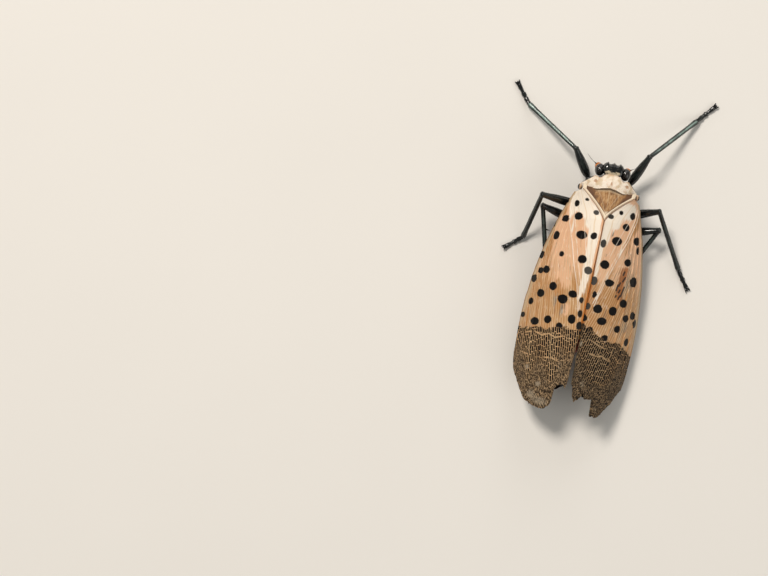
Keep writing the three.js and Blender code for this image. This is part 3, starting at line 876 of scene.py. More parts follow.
# The pale double line that parts the clavus from the rest of the wing.
SUTURES = {
    Side.LEFT: (
        (
            (-3.3, -3.0), (-3.4, -4.4), (-3.16, -5.75), (-2.47, -7.73),
            (-1.89, -9.74), (-1.15, -11.71), (-0.51, -14.24),
        ),
        (
            (-2.95, -3.2), (-2.85, -4.4), (-2.6, -5.63), (-2.05, -7.6),
            (-1.48, -9.65), (-0.79, -11.64), (-0.45, -14.0),
        ),
    ),
    Side.RIGHT: (
        (
            (3.4, -3.2), (3.35, -4.39), (2.98, -6.17), (2.46, -7.77),
            (2.01, -9.14), (1.57, -10.62), (0.89, -13.43),
        ),
        (
            (3.2, -3.2), (3.15, -4.35), (2.78, -6.13), (2.26, -7.73),
            (1.81, -9.1), (1.37, -10.58), (0.75, -13.2),
        ),
    ),
}

# The brown stain on the right wing, as an uneven line, and the dark dashes in it.
STAIN = ((3.25, -9.3), (3.2, -9.9), (3.1, -10.5), (3.09, -11.0), (3.12, -11.6), (3.19, -12.2))
STAIN_DASHES = (
    ((3.2, -9.45), (3.12, -9.8)), ((3.38, -10.0), (3.2, -10.45)), ((3.0, -10.6), (2.92, -10.95)),
    ((2.81, -10.85), (2.75, -11.45)), ((3.46, -10.95), (3.4, -11.25)), ((3.38, -11.35), (3.28, -11.95)),
    ((3.2, -11.9), (3.1, -12.25)), ((3.1, -11.3), (3.02, -11.6)), ((2.85, -11.9), (2.8, -12.1)),
)

# Where the worn ends of the wings stop, as distance from the middle and y.
WORN_EDGE = {
    Side.LEFT: (
        (0.0, -20.7), (0.1, -21.2), (0.27, -21.97), (0.42, -21.75), (0.6, -21.59), (0.93, -21.71),
        (1.2, -21.98), (1.27, -22.3), (1.3, -23.45), (1.47, -23.9), (1.97, -24.38), (2.47, -24.39),
        (3.31, -24.17), (3.99, -23.81), (4.57, -22.93), (5.06, -22.04), (6.0, -20.5),
    ),
    Side.RIGHT: (
        (0.0, -21.0), (0.17, -21.2), (0.46, -21.6), (0.6, -22.5), (0.88, -23.2), (1.02, -22.75), (1.1, -23.0),
        (1.33, -22.5), (1.55, -21.9), (1.66, -22.6), (2.45, -22.5), (2.58, -23.4), (2.7, -24.3),
        (2.96, -24.04), (3.2, -24.3), (3.48, -24.13), (3.69, -23.7), (4.37, -22.64), (4.91, -21.4),
        (6.0, -20.0),
    ),
}


@dataclass(frozen=True)
class Vein:
    """A main vein of the forewing, as shares of the wing's width at its root and its tip."""

    root: float
    tip: float
    lane: float  # its place in the even count of lanes across the wing

    def share(self, reach: Array) -> Array:
        """Its share of the width for each share of the wing's length."""
        left = clamp(1 - reach / 0.58) ** 1.2 if self.root < 0.74 else (1 - reach) ** 1.6
        return self.tip + (self.root - self.tip) * left


@dataclass
class Forewing:
    """One of the two forewings: a thin warped plate with raised veins and a worn end."""

    side: Side
    thickness: float = 0.15
    vein_rise: float = 0.085
    vein_half: float = 0.075
    suture_rise: float = 0.045
    rows: int = 280
    lanes: int = 96
    lane_width: float = 6.6  # what the lanes measure together where the wing is widest
    worn_from: float = 0.82  # the share of the length past which the rows crowd towards the worn end
    inner_roll: tuple[float, float] = (0.07, 0.09)  # the rolled inner margin's rise and breadth
    outer_roll: tuple[float, float] = (0.05, 0.14)
    suture_half: float = 0.06
    bow: float = 1.12  # how much wider the bowed wing is than the straight way across
    fray: tuple[float, float] = (0.07, 0.03)  # how far the worn end wavers, in slow and in quick waves
    stain_half: float = 0.5
    dash_half: float = 0.1
    # How far the net's lanes lean to the middle for each millimetre.
    lean: ClassVar[dict[Side, float]] = {Side.LEFT: 0.19, Side.RIGHT: 0.3}
    veins: tuple[Vein, ...] = (
        Vein(0.7, 0.05, 0.24), Vein(0.77, 0.24, 0.38), Vein(0.83, 0.42, 0.53), Vein(0.89, 0.62, 0.69),
        Vein(0.95, 0.8, 0.85),
    )

    def lane_places(self) -> Array:
        """The lanes' places from the inner margin, 0, to the outer, 1, closer together at the veins.

        Returns:
            One place across the wing for each column of points.
        """
        steps = (-0.014, -0.009, -0.0045, 0, 0.0045, 0.009, 0.014)
        beside = [vein.lane + step for vein in self.veins for step in steps]
        return np.unique(np.round(np.concatenate([np.linspace(0, 1, self.lanes), beside, [0.004, 0.996]]), 5))

    def shares(self, places: Array, reach: Array) -> Array:
        """The share of the width of every lane for every share of the length, by row and column.

        Args:
            places: The lanes' places across.
            reach: Shares of the length.

        Returns:
            One row for each share of the length.
        """
        marks = [0.0, *(vein.lane for vein in self.veins), 1.0]
        rows = []
        for t in reach:
            lines = [0.0, *(float(vein.share(t)) for vein in self.veins), 1.0]
            rows.append(np.interp(places, marks, lines))
        return np.array(rows)

    def worn_reach(self, share: Array) -> Array:
        """How much of its length each lane keeps, for the lanes' shares at the tip.

        Args:
            share: The lanes' shares of the width at the tip.

        Returns:
            One share of the length for each.
        """
        end_y = ROOF.tip(share)
        ends = ROOF.at(end_y, share, np.zeros_like(share))
        ends[:, 0] *= self.side.value
        out = np.abs(VIEW.seen(ends)[:, 0])
        edge = np.asarray(WORN_EDGE[self.side])
        worn = VIEW.real_y(np.interp(out, edge[:, 0], edge[:, 1]), ends[:, 2])
        slow, quick = self.fray
        frayed = worn + slow * unevenness(out * 2.6, self.side.value * 3.1) + quick * np.sin(out * 61)
        kept = np.maximum(end_y, frayed)
        return (kept - ROOF.root(share)) / (end_y - ROOF.root(share))

    def grid(self) -> tuple[Array, Array, Array]:
        """The place of every point along and across the wing.

        Returns:
            Y, the share of the width and the share of the length, each by row and column.
        """
        places = self.lane_places()
        reach = np.linspace(0, 1, self.rows)
        kept = self.worn_reach(self.shares(places, np.array([1.0]))[0])
        past = clamp((reach - self.worn_from) / (1 - self.worn_from))[:, None]
        length = np.minimum(reach, self.worn_from)[:, None] + past * (kept - self.worn_from)
        share = np.array([self.shares(places[k : k + 1], length[:, k])[:, 0] for k in range(len(places))]).T
        y = lerp(ROOF.root(share), ROOF.tip(share), length)
        return y, share, length

    def relief(self, y: Array, share: Array, length: Array) -> Array:
        """How far the wing's face stands over the roof: veins, rolled margins and gentle unevenness.

        Args:
            y: The points' Y.
            share: Their shares of the width.
            length: Their shares of the length.

        Returns:
            The rise at each point.
        """
        inner_x, inner_z = ROOF.inner(y)
        outer_x, outer_z = ROOF.outer(y)
        width = self.bow * np.hypot(outer_x - inner_x, inner_z - outer_z)
        fade = ease(length, 0, 0.12) * ease(1 - length, 0, 0.25)
        rise = np.zeros_like(y)
        for vein in self.veins[1:]:
            gap = (share - vein.share(length)) * width
            rise += fade * hump(gap, self.vein_rise, self.vein_half)
        rise += hump(self.suture_gap(ROOF.at(y, share, 0 * y)), self.suture_rise, self.suture_half)
        rise += hump(share * width, *self.inner_roll) * ease(length, 0, 0.03)
        rise += hump((1 - share) * width, *self.outer_roll)
        waves = unevenness(share * 1.4 + 0.05 * y, 2.0 + self.side.value) * unevenness(y / 7.0, 1.3)
        rise += 0.05 * waves * ease(share, 0.02, 0.2)
        rise += 0.03 * unevenness(y / 2.1 + share * 2.2, 5.0) * ease(-y, 17, 22)
        return rise

    def suture_gap(self, points: Array) -> Array:
        """How far points of the right half lie from the nearer line of this wing's suture.

        Args:
            points: The points, by row and column.

        Returns:
            One distance for each point.
        """
        flat = VIEW.seen(points * [self.side.value, 1, 1]).reshape(-1, 2)
        gaps = [polyline_gap(flat, line) for line in SUTURES[self.side]]
        return np.minimum(*gaps).reshape(points.shape[:2])

    def spot_mark(self, points: Array, seen: Array) -> tuple[Array, Array]:
        """Draws the spots on the wing's face, as wide as they look from above, but less on its steep rim.

        Args:
            points: The face's points by row and column.
            seen: Where they appear in the photograph.

        Returns:
            How deep inside a spot each point is, in millimetres, and how black the nearest spot is.
        """
        across = np.gradient(points, axis=1)
        facing = np.abs(across[..., 0]) / np.hypot(across[..., 0], across[..., 2])
        inside = np.full(points.shape[:2], -FAR)
        blackness = np.ones(points.shape[:2])
        for x, y, half_x, half_y, black in SPOTS[self.side]:
            near = np.argmin((seen[..., 0] - x) ** 2 + (seen[..., 1] - y) ** 2)
            row, column = np.unravel_index(near, inside.shape)
            centre = points[row, column]
            half = min(half_x / max(facing[row, column], 0.2), max(1.8 * half_y, half_x))
            sideways = np.hypot(points[..., 0] - centre[0], points[..., 2] - centre[2])
            reach = np.hypot(sideways / half, (points[..., 1] - centre[1]) / half_y)
            depth = (1 - reach) * min(half, half_y)
            blackness = np.where(depth > inside, black, blackness)
            inside = np.maximum(inside, depth)
        return inside, blackness

    def fine_offset(self, seen: Array) -> Array:
        """Measures aside from the fine pale vein, signed so that a thin line isn't lost between points.

        Args:
            seen: Where the face's points appear in the photograph.

        Returns:
            The signed distance by row and column, in millimetres, and FAR beyond the vein's ends.
        """
        line = np.asarray(FINE_VEINS[self.side])
        offset = seen[..., 0] - np.interp(-seen[..., 1], -line[:, 1], line[:, 0])
        beyond = (seen[..., 1] > line[0, 1]) | (seen[..., 1] < line[-1, 1])
        return np.where(beyond, FAR, offset)

    def face_marks(self, points: Array, y: Array, share: Array) -> dict[str, Array]:
        """What the finish reads off the wing's face.

        Args:
            points: The face's points by row and column, on this wing's own side.
            y: Their Y.
            share: Their share of the width.

        Returns:
            Marks by name, each with one value for each point, row by row.
        """
        seen = VIEW.seen(points)
        flat = seen.reshape(-1, 2)
        shape = y.shape
        steps = np.hypot(np.diff(points[..., 0], axis=1), np.diff(points[..., 2], axis=1))
        inner = np.concatenate([np.zeros((shape[0], 1)), np.cumsum(steps, axis=1)], axis=1)
        front = np.asarray(NET_START[self.side])
        start = np.interp(seen[..., 0], front[:, 0], front[:, 1])
        cross = np.minimum.reduce([polyline_gap(flat, line) for line in CROSS_LINES[self.side]])
        right = self.side is Side.RIGHT
        stain = polyline_gap(flat, STAIN) if right else np.full(len(flat), FAR)
        dashes = [polyline_gap(flat, line) for line in STAIN_DASHES] if right else [np.full(len(flat), FAR)]
        patches = {
            "clear": CLEAR_NET, "wear": WORN_NET, "cream": CREAM, "pink": PINK, "ochre": OCHRE, "ash": ASH,
        }
        spot, black = self.spot_mark(points, seen)
        slanted = np.where(y > ROOF.scutellum_tip_y, SLANT, 1.0)
        return {
            "spot": spot,
            "black": black,
            "net": start - seen[..., 1],
            "cross": cross,
            "lane": np.broadcast_to(self.lane_places() * self.lane_width, shape),
            "net_lane": inner - self.lean[self.side] * (y - ROOF.widest_y),
            # Painted shade: 1 over the whole right wing, so that its net is drawn darker, as if that wing
            # faced away from the light.
            "dusk": np.full(shape, float(right)),
            "fine": self.fine_offset(seen),
            "back": -y,
            "inner": inner * slanted,
            "outer": inner[:, -1:] - inner,
            "suture": self.suture_gap(points * [self.side.value, 1, 1]),
            "stain": 1 - stain / self.stain_half,
            "dash": 1 - np.minimum.reduce(dashes) / self.dash_half,
            **{name: soft_patches(flat, table[self.side]) for name, table in patches.items()},
        }

    def surface(self) -> Surface:
        """The wing's plate with all its marks.

        Returns:
            The closed mesh under construction.
        """
        y, share, length = self.grid()
        rise = self.relief(y, share, length)
        thin = self.thickness * (0.55 + 0.45 * ease(1 - length, 0, 0.1))
        top = ROOF.at(y, share, -rise)
        under = ROOF.at(y, share, thin - rise)
        mirror = np.array([self.side.value, 1, 1])
        top, under = top * mirror, under * mirror
        return plate(top, under, self.face_marks(top, y, share))

    def build(self, material: bpy.types.Material) -> bpy.types.Object:
        """Makes the wing and puts it on show."""
        name = f"forewing_{self.side.word}"
        return present(self.surface().mesh(f"{name}_membrane", 60), material, "forewing", name)


@dataclass(frozen=True)
class ForewingMembrane:
    """The forewing's leathery membrane, with a dry waxy bloom over coloured and netted cuticle."""

    cream: str = "#F1E5D4"
    pink: str = "#E1B18B"
    tan: str = "#BD9163"
    ochre: str = "#B37E48"
    ash: str = "#897560"
    dark_streak: str = "#755840"
    rib: str = "#DFC298"
    spot: str = "#0E0C0B"
    grey_spot: str = "#494641"
    stain: str = "#96561E"
    commissure: str = "#B96E2B"
    rim_line: str = "#8A5F3F"
    costa: str = "#C0A682"
    cell: str = "#0B0806"
    far_cell: str = "#2C231A"
    net_vein: str = "#C29C71"
    far_vein: str = "#B29470"
    bloom: str = "#665A48"
    wax: str = "#A89A84"
    lane_pitch: float = 0.25  # between the net's lanes, chosen close to the 0.23 mm read off the photograph
    cell_length: float = 0.62  # chosen, as is the next
    vein_width: float = 0.06
    rib_pitches: tuple[float, float] = (0.5, 0.28)  # in front and behind

    def ground(self, graph: Graph) -> tuple[Any, Any]:
        """The colour of the wing in front of the net: soft patches broken up by fine lengthwise streaks.

        Args:
            graph: The material's graph.

        Returns:
            The colour, and the streaks' strength for the relief.
        """
        add = graph.add
        lane, back = add(Node.MARK, "lane"), add(Node.MARK, "back")
        noises = []
        for rate_lane, rate_back, layer in ((8.0, 0.45, 0.0), (2.4, 0.2, 3.0), (9.0, 1.4, 8.0)):
            place = add(Node.TRIO, add(Node.TIMES, lane, rate_lane), add(Node.TIMES, back, rate_back), layer)
            noises.append(add(Node.NOISE, place, 1.0, 3.0, 0.6))
        streak, wide, fleck = noises
        colour = graph.over(self.tan, self.ochre, wide, 0.4, 0.62)
        ahead = add(Node.STEP, add(Node.PLUS, back, graph.sway(wide, 9.0)), 12.5, 8.5)
        colour = add(Node.MIX, ahead, colour, self.pink)
        layers = (
            ("pink", self.pink, 1.1), ("ochre", self.ochre, 1.3),
            ("ash", self.ash, 1.5), ("cream", self.cream, 1.0),
        )
        for name, tint, break_up in layers:
            strength = add(Node.MARK, name)
            wavered = add(Node.PLUS, strength, graph.sway(streak, break_up))
            colour = graph.over(colour, tint, wavered, 0.36, 0.56)
        lines = add(Node.TIMES, add(Node.STEP, streak, 0.56, 0.7), add(Node.STEP, back, 6.0, 12.0, 0.2, 0.6))
        colour = add(Node.MIX, lines, colour, self.dark_streak)
        colour = add(Node.MIX, self.ribs(graph, lane, back, wide), colour, self.rib)
        pale = add(Node.STEP, fleck, 0.56, 0.7)
        return add(Node.MIX, add(Node.TIMES, pale, 0.4), colour, self.cream), streak

    def ribs(self, graph: Graph, lane: Any, back: Any, wide: Any) -> Any:
        """The fine pale veins that run side by side along the wing, few in front and many behind.

        Args:
            graph: The material's graph.
            lane: The place across the wing.
            back: The place along it.
            wide: A slow noise that lets them fade here and there.

        Returns:
            Their strength.
        """
        add = graph.add
        strengths = []
        behind = add(Node.MARK, "net_lane")
        few, many = self.rib_pitches
        sets = ((lane, few, 11.0, 6.0, 0.6), (behind, many, 6.5, 10.0, 0.8))
        for line_up, pitch, start, end, strong in sets:
            bend = add(Node.TIMES, add(Node.NOISE, add(Node.TRIO, line_up, back, 6.0), 0.5, 1.0), 0.25)
            place = add(Node.OVER, add(Node.PLUS, line_up, bend), pitch)
            from_line = add(Node.MINUS, 0.5, add(Node.SIZE, add(Node.MINUS, add(Node.REST, place), 0.5)))
            line = add(Node.STEP, from_line, 0.045 / pitch, 0.02 / pitch)
            strengths.append(add(Node.TIMES, line, add(Node.STEP, back, start, end, 0.0, strong)))
        fading = add(Node.STEP, wide, 0.7, 0.4, 0.45, 1.0)
        return add(Node.TIMES, add(Node.MOST, *strengths), fading)

    def lines(self, graph: Graph, colour: Any) -> Any:
        """Adds the pale double suture, the pale costal strip with a dark line along the outer edge, the
        commissure and the dark outline of the V.

        Args:
            graph: The material's graph.
            colour: The colour so far.

        Returns:
            The colour with the lines on it.
        """
        add = graph.add
        back = add(Node.MARK, "back")
        suture = add(Node.STEP, add(Node.MARK, "suture"), 0.06, 0.015)
        colour = add(Node.MIX, add(Node.TIMES, suture, 0.8), colour, self.cream)
        outer = add(Node.MARK, "outer")
        waver = add(Node.NOISE, add(Node.TRIO, outer, back, 0.0), 1.3, 2.0)
        edge = add(Node.PLUS, outer, add(Node.TIMES, waver, 0.5))
        ahead = add(Node.STEP, back, 17.5, 15.0)
        colour = graph.over(colour, self.costa, edge, 0.85, 0.6, ahead)
        colour = graph.over(colour, self.rim_line, outer, 0.16, 0.05, 0.7)
        inner = add(Node.MARK, "inner")
        reach = add(Node.STEP, back, 8.5, 12.5, 0.09, 0.26)
        seam = add(Node.STEP, add(Node.OVER, inner, reach), 1.0, 0.5)
        seam = add(Node.TIMES, seam, add(Node.STEP, back, 4.6, 5.3))
        strength = add(Node.STEP, back, 4.0, 12.0, 0.5, 1.0)
        colour = add(Node.MIX, add(Node.TIMES, seam, strength), colour, self.commissure)
        outline = add(Node.TIMES, add(Node.STEP, inner, 0.075, 0.03), add(Node.STEP, back, 5.2, 4.8))
        return add(Node.MIX, add(Node.TIMES, outline, 0.85), colour, self.rim_line)

    def net(self, graph: Graph) -> tuple[Any, Any]:
        """The dark net of the wing's end: brick-like cells in lanes, finer and greyer further out; painted
        shade darkens the right wing's whole net.

        Args:
            graph: The material's graph.

        Returns:
            The net's colour and the strength of its veins.
        """
        add = graph.add
        lane, back = add(Node.MARK, "net_lane"), add(Node.MARK, "back")
        place = add(Node.TRIO, lane, back, 0.0)
        drift = add(Node.MINUS, add(Node.NOISE, place, 1.1, 1.0), 0.5)
        lanes = add(Node.OVER, add(Node.PLUS, lane, add(Node.TIMES, drift, 0.28)), self.lane_pitch)
        shuffle = add(Node.CHANCE, add(Node.WHOLE, lanes))
        uneven = add(Node.NOISE, add(Node.TRIO, add(Node.WHOLE, lanes), back, 2.0), 1.3, 0.0)
        steps = add(Node.PLUS, add(Node.OVER, back, self.cell_length), add(Node.TIMES, shuffle, 5.0))
        steps = add(Node.PLUS, steps, add(Node.TIMES, uneven, 0.8))
        side_gap = add(Node.MINUS, 0.5, add(Node.SIZE, add(Node.MINUS, add(Node.REST, lanes), 0.5)))
        end_gap = add(Node.MINUS, 0.5, add(Node.SIZE, add(Node.MINUS, add(Node.REST, steps), 0.5)))
        side_gap = add(Node.TIMES, side_gap, self.lane_pitch)
        gap = add(Node.LEAST, side_gap, add(Node.TIMES, end_gap, self.cell_length))
        half = self.vein_width / 2
        bricks = add(Node.STEP, gap, half * 1.35, half * 0.65)
        fine_place = add(Node.TRIO, add(Node.TIMES, lane, 5.6), add(Node.TIMES, back, 4.0), 0.0)
        fine = add(Node.TIMES, add(Node.STEP, add(Node.CRACKS, fine_place, 1.0, 0.9), 0.14, 0.04), 0.9)
        beside = add(Node.STEP, side_gap, half * 1.2, half * 0.5)
        fine = add(Node.MOST, fine, add(Node.TIMES, beside, 0.6))
        behind = add(Node.MARK, "net")
        patchy = add(Node.NOISE, add(Node.TRIO, lane, add(Node.TIMES, back, 0.3), 5.0), 0.9, 2.0)
        how_far = add(Node.PLUS, behind, graph.sway(patchy, 6.0))
        clear = add(Node.MARK, "clear")
        how_far = add(Node.MINUS, how_far, add(Node.TIMES, clear, 8.0))
        far = add(Node.STEP, how_far, 1.5, 3.8)
        veins = add(Node.PLUS, add(Node.TIMES, bricks, add(Node.MINUS, 1.0, far)), add(Node.TIMES, fine, far))
        cross = add(Node.STEP, add(Node.MARK, "cross"), 0.09, 0.04)
        veins = add(Node.MOST, veins, add(Node.TIMES, cross, add(Node.STEP, patchy, 0.38, 0.5)))
        fleck_place = add(Node.TRIO, add(Node.TIMES, lane, 6.0), add(Node.TIMES, back, 4.0), 1.0)
        speckle = add(Node.NOISE, fleck_place, 1.0, 3.0, 0.7)
        # Painted shade: on the right wing the far cells stay darker and the net's veins are dimmed.
        dusk = add(Node.MARK, "dusk")
        paler = add(Node.TIMES, far, add(Node.MINUS, 1.0, add(Node.TIMES, dusk, 0.7)))
        cell = add(Node.MIX, paler, self.cell, self.far_cell)
        cell = graph.over(cell, self.bloom, speckle, 0.52, 0.72, far)
        vein = add(Node.MIX, far, self.net_vein, self.far_vein)
        vein = add(Node.MIX, add(Node.TIMES, clear, 0.45), vein, self.rib)
        worn = add(Node.STEP, speckle, 0.56, 0.42, 0.0, 0.75)
        vein = add(Node.MIX, add(Node.TIMES, worn, add(Node.PLUS, 0.3, far)), vein, self.far_cell)
        net_veins_in_painted_shade = add(Node.TIMES, veins, add(Node.MINUS, 1.0, add(Node.TIMES, dusk, 0.28)))
        net = add(Node.MIX, net_veins_in_painted_shade, cell, vein)
        dust_place = add(Node.TRIO, add(Node.TIMES, lane, 2.4), add(Node.TIMES, back, 2.0), 9.0)
        dust = add(Node.NOISE, dust_place, 1.0, 4.0, 0.7)
        dusty = add(Node.TIMES, add(Node.STEP, dust, 0.6, 0.75), add(Node.STEP, behind, 1.0, 6.0, 0.0, 0.5))
        wear = add(Node.PLUS, add(Node.MARK, "wear"), add(Node.MINUS, speckle, 0.5))
        dusty = add(Node.MOST, dusty, add(Node.STEP, wear, 0.35, 0.8, 0.0, 0.65))
        return add(Node.MIX, dusty, net, self.wax), veins

    def material(self) -> bpy.types.Material:
        """Leathery wing cuticle, grown as a membrane: matt and waxy in front, ribbed by the net behind.

        Returns:
            The finish.
        """
        material, graph = new_material("forewing_waxy_membrane")
        add = graph.add
        ground, streak = self.ground(graph)
        ground = self.lines(graph, ground)
        stain = add(Node.MARK, "stain")
        broken = add(Node.PLUS, stain, graph.sway(streak, 2.8))
        ground = graph.over(ground, self.stain, broken, 0.15, 0.7, 0.85)
        dash = add(Node.STEP, add(Node.MARK, "dash"), 0.0, 0.35)
        ground = add(Node.MIX, add(Node.TIMES, dash, 0.9), ground, self.spot)
        net, veins = self.net(graph)
        place = add(Node.TRIO, add(Node.MARK, "lane"), add(Node.MARK, "back"), 0.0)
        ragged = graph.sway(add(Node.NOISE, place, 3.4, 2.0), 0.9)
        netted = add(Node.STEP, add(Node.PLUS, add(Node.MARK, "net"), ragged), -0.08, 0.12)
        colour = add(Node.MIX, netted, ground, net)
        rough_edge = graph.sway(add(Node.NOISE, place, 1.7, 1.0), 0.16)
        fuzz = graph.sway(add(Node.NOISE, place, 11.0, 2.0), 0.1)
        edge = add(Node.PLUS, add(Node.PLUS, add(Node.MARK, "spot"), rough_edge), fuzz)
        spotted = add(Node.STEP, edge, -0.075, 0.01)
        blackness = add(Node.STEP, add(Node.MARK, "black"), 0.5, 0.95)
        ink = add(Node.MIX, blackness, self.grey_spot, self.spot)
        ink = graph.over(ink, self.grey_spot, streak, 0.6, 0.72, 0.3)
        hidden = add(Node.MINUS, 1.0, add(Node.TIMES, netted, 0.6))
        colour = add(Node.MIX, add(Node.TIMES, spotted, hidden), colour, ink)
        fine_vein = add(Node.STEP, add(Node.SIZE, add(Node.MARK, "fine")), 0.06, 0.015)
        colour = add(Node.MIX, add(Node.TIMES, fine_vein, 0.45), colour, self.cream)
        height = add(Node.PLUS, add(Node.TIMES, veins, netted), add(Node.TIMES, streak, 0.35))
        bump = add(Node.RELIEF, height, 0.5, 0.00003)
        rough = add(Node.STEP, netted, 0.0, 1.0, 0.5, 0.62)
        shine = add(Node.STEP, add(Node.MOST, spotted, netted), 0.0, 1.0, 0.4, 0.12)
        shader = add(Node.SURFACE, colour, rough, bump, also={"IOR": 1.5, "Specular IOR Level": shine})
        add(Node.RESULT, shader)
        return material


# Hindwings


@dataclass
class Hindwing:
    """One of the two hindwings, folded in pleats under its forewing."""

    side: Side
    depth: float = 0.42
    thickness: float = 0.1
    base_y: float = -6.2
    share: float = 0.86
    pleats: int = 9
    pleat_rise: float = 0.11
    end_straight: float = 0.35  # how far its end is evened out from the forewing's rounded one
    shorter: float = 1.2
    end_waver: float = 0.08
    lane_width: float = 6.0
    columns: int = 110
    rows: int = 130

    def surface(self) -> Surface:
        """The pleated membrane with its marks: how far back and how far out each point lies.

        Returns:
            The closed mesh under construction.
        """
        out, reach = np.linspace(0, 1, self.columns), np.linspace(0, 1, self.rows)[:, None]
        share = np.broadcast_to(out * self.share + 0.01, (self.rows, self.columns))
        end = lerp(ROOF.tip(share), ROOF.inner_end_y, self.end_straight) + self.shorter
        end = end + self.end_waver * unevenness(out * 3, self.side.value)
        y = lerp(self.base_y, end, reach)
        pleat = self.pleat_rise * np.sin(2 * np.pi * self.pleats * out) * ease(reach, 0, 0.15)
        top = ROOF.at(y, share, self.depth + pleat)
        under = ROOF.at(y, share, self.depth + pleat + self.thickness)
        mirror = np.array([self.side.value, 1, 1])
        marks = {"back": -y, "lane": np.broadcast_to(out * self.lane_width, y.shape)}
        return plate(top * mirror, under * mirror, marks)

    def build(self, material: bpy.types.Material) -> bpy.types.Object:
        """Makes the wing and puts it on show."""
        name = f"hindwing_{self.side.word}"
        return present(self.surface().mesh(f"{name}_membrane"), material, "hindwing", name)


@dataclass(frozen=True)
class HindwingMembrane:
    """The hindwing's thin membrane: scarlet with black spots, then a white band, then a black end."""

    scarlet: str = "#B3241B"
    spot: str = "#15110F"
    band: str = "#E8E2D4"
    end: str = "#1A1613"
    band_back: tuple[float, float] = (14.4, 17.2)

    def material(self) -> bpy.types.Material:
        """Thin veined membrane, grown and folded: satin, with fine lines along its pleats.

        Returns:
            The finish.
        """
        material, graph = new_material("hindwing_scarlet_membrane")
        add = graph.add
        lane, back = add(Node.MARK, "lane"), add(Node.MARK, "back")
        place = add(Node.TRIO, lane, back, 0.0)
        waver = graph.sway(add(Node.NOISE, place, 0.8, 2.0), 1.6)
        edge = add(Node.PLUS, back, waver)
        spots = add(Node.STEP, add(Node.GRAINS, place, 0.62, 0.8), 0.34, 0.28)
        ahead = add(Node.STEP, edge, self.band_back[0], self.band_back[0] - 0.8)
        drawn_out = add(Node.TRIO, add(Node.TIMES, lane, 6.0), add(Node.TIMES, back, 0.5), 0.0)
        streak = add(Node.NOISE, drawn_out, 1.0, 2.0)
        colour = add(Node.MIX, add(Node.TIMES, streak, 0.35), self.scarlet, self.spot)
        colour = add(Node.MIX, add(Node.TIMES, spots, ahead), colour, self.spot)
        for start, tint in zip(self.band_back, (self.band, self.end)):
            colour = graph.over(colour, tint, edge, start - 0.15, start + 0.15)
        bump = add(Node.RELIEF, streak, 0.4, 0.00002)
        shader = add(Node.SURFACE, colour, 0.5, bump, also={"IOR": 1.5, "Specular IOR Level": 0.35})
        add(Node.RESULT, shader)
        return material


# Body


@dataclass
class Trunk:
    """The black front of the body: neck, prothorax and thorax as one skin, with its side plates."""

    sides: int = 96
    levels: int = 150
    stations: tuple = (
        (-0.1, 4.25, 0.6, 0.8, 0.8), (-0.5, 4.1, 0.95, 1.15, 0.95), (-0.85, 4.0, 1.8, 1.7, 1.4),
        (-1.15, 3.95, 2.3, 2.05, 1.55), (-1.6, 3.9, 2.42, 2.14, 1.6), (-2.0, 3.7, 2.35, 1.95, 1.5),
        (-2.5, 3.3, 2.3, 2.0, 1.25), (-3.4, 3.2, 2.36, 2.2, 1.25), (-4.6, 3.2, 2.38, 2.25, 1.25),
        (-5.8, 3.2, 2.25, 2.2, 1.25), (-6.9, 3.2, 2.05, 2.12, 1.2), (-7.5, 3.2, 1.85, 1.8, 1.1),
    )
    seams: tuple = (-2.2, -4.35, -6.25)  # where one ring of the body meets the next
    groove: tuple[float, float] = (0.075, 0.09)  # depth and breadth of the grooves there
    plate_slants: tuple[float, float] = (-0.95, 0.55)  # angles of the grooves between side plates
    plate_groove: tuple[float, float] = (0.05, 0.07)
    swelling: tuple[float, float] = (0.08, 0.55)  # of each ring between two grooves

    def surface(self) -> Surface:
        """The skin with grooves between its rings and plates.

        Returns:
            The closed mesh under construction.
        """
        rings = loft(self.stations, self.sides, self.levels)
        y = rings[..., 1]
        axis = np.stack([np.zeros_like(y), y, np.full_like(y, 3.5)], -1)
        out = rings - axis
        angle = np.arctan2(out[..., 2], np.abs(out[..., 0]))
        dent = sum(hump(y - seam + 0.25 * np.sin(2 * angle), *self.groove) for seam in self.seams)
        for slant in self.plate_slants:
            dent = dent + hump(angle - slant * (1 + 0.1 * (y + 4)), *self.plate_groove) * ease(-y, 2.2, 3)
        bulge = sum(hump(y - seam - 1.1, *self.swelling) for seam in self.seams[1:])
        scale = 1 + (bulge * hump(angle, 1, 0.7) - dent) / np.linalg.norm(out, axis=-1)
        return tube(axis + out * scale[..., None])

    def build(self, material: bpy.types.Material) -> bpy.types.Object:
        """Makes the skin and puts it on show."""
        mesh = self.surface().mesh("trunk_skin")
        return present(mesh, material, "body_black", "prothorax", "thorax")


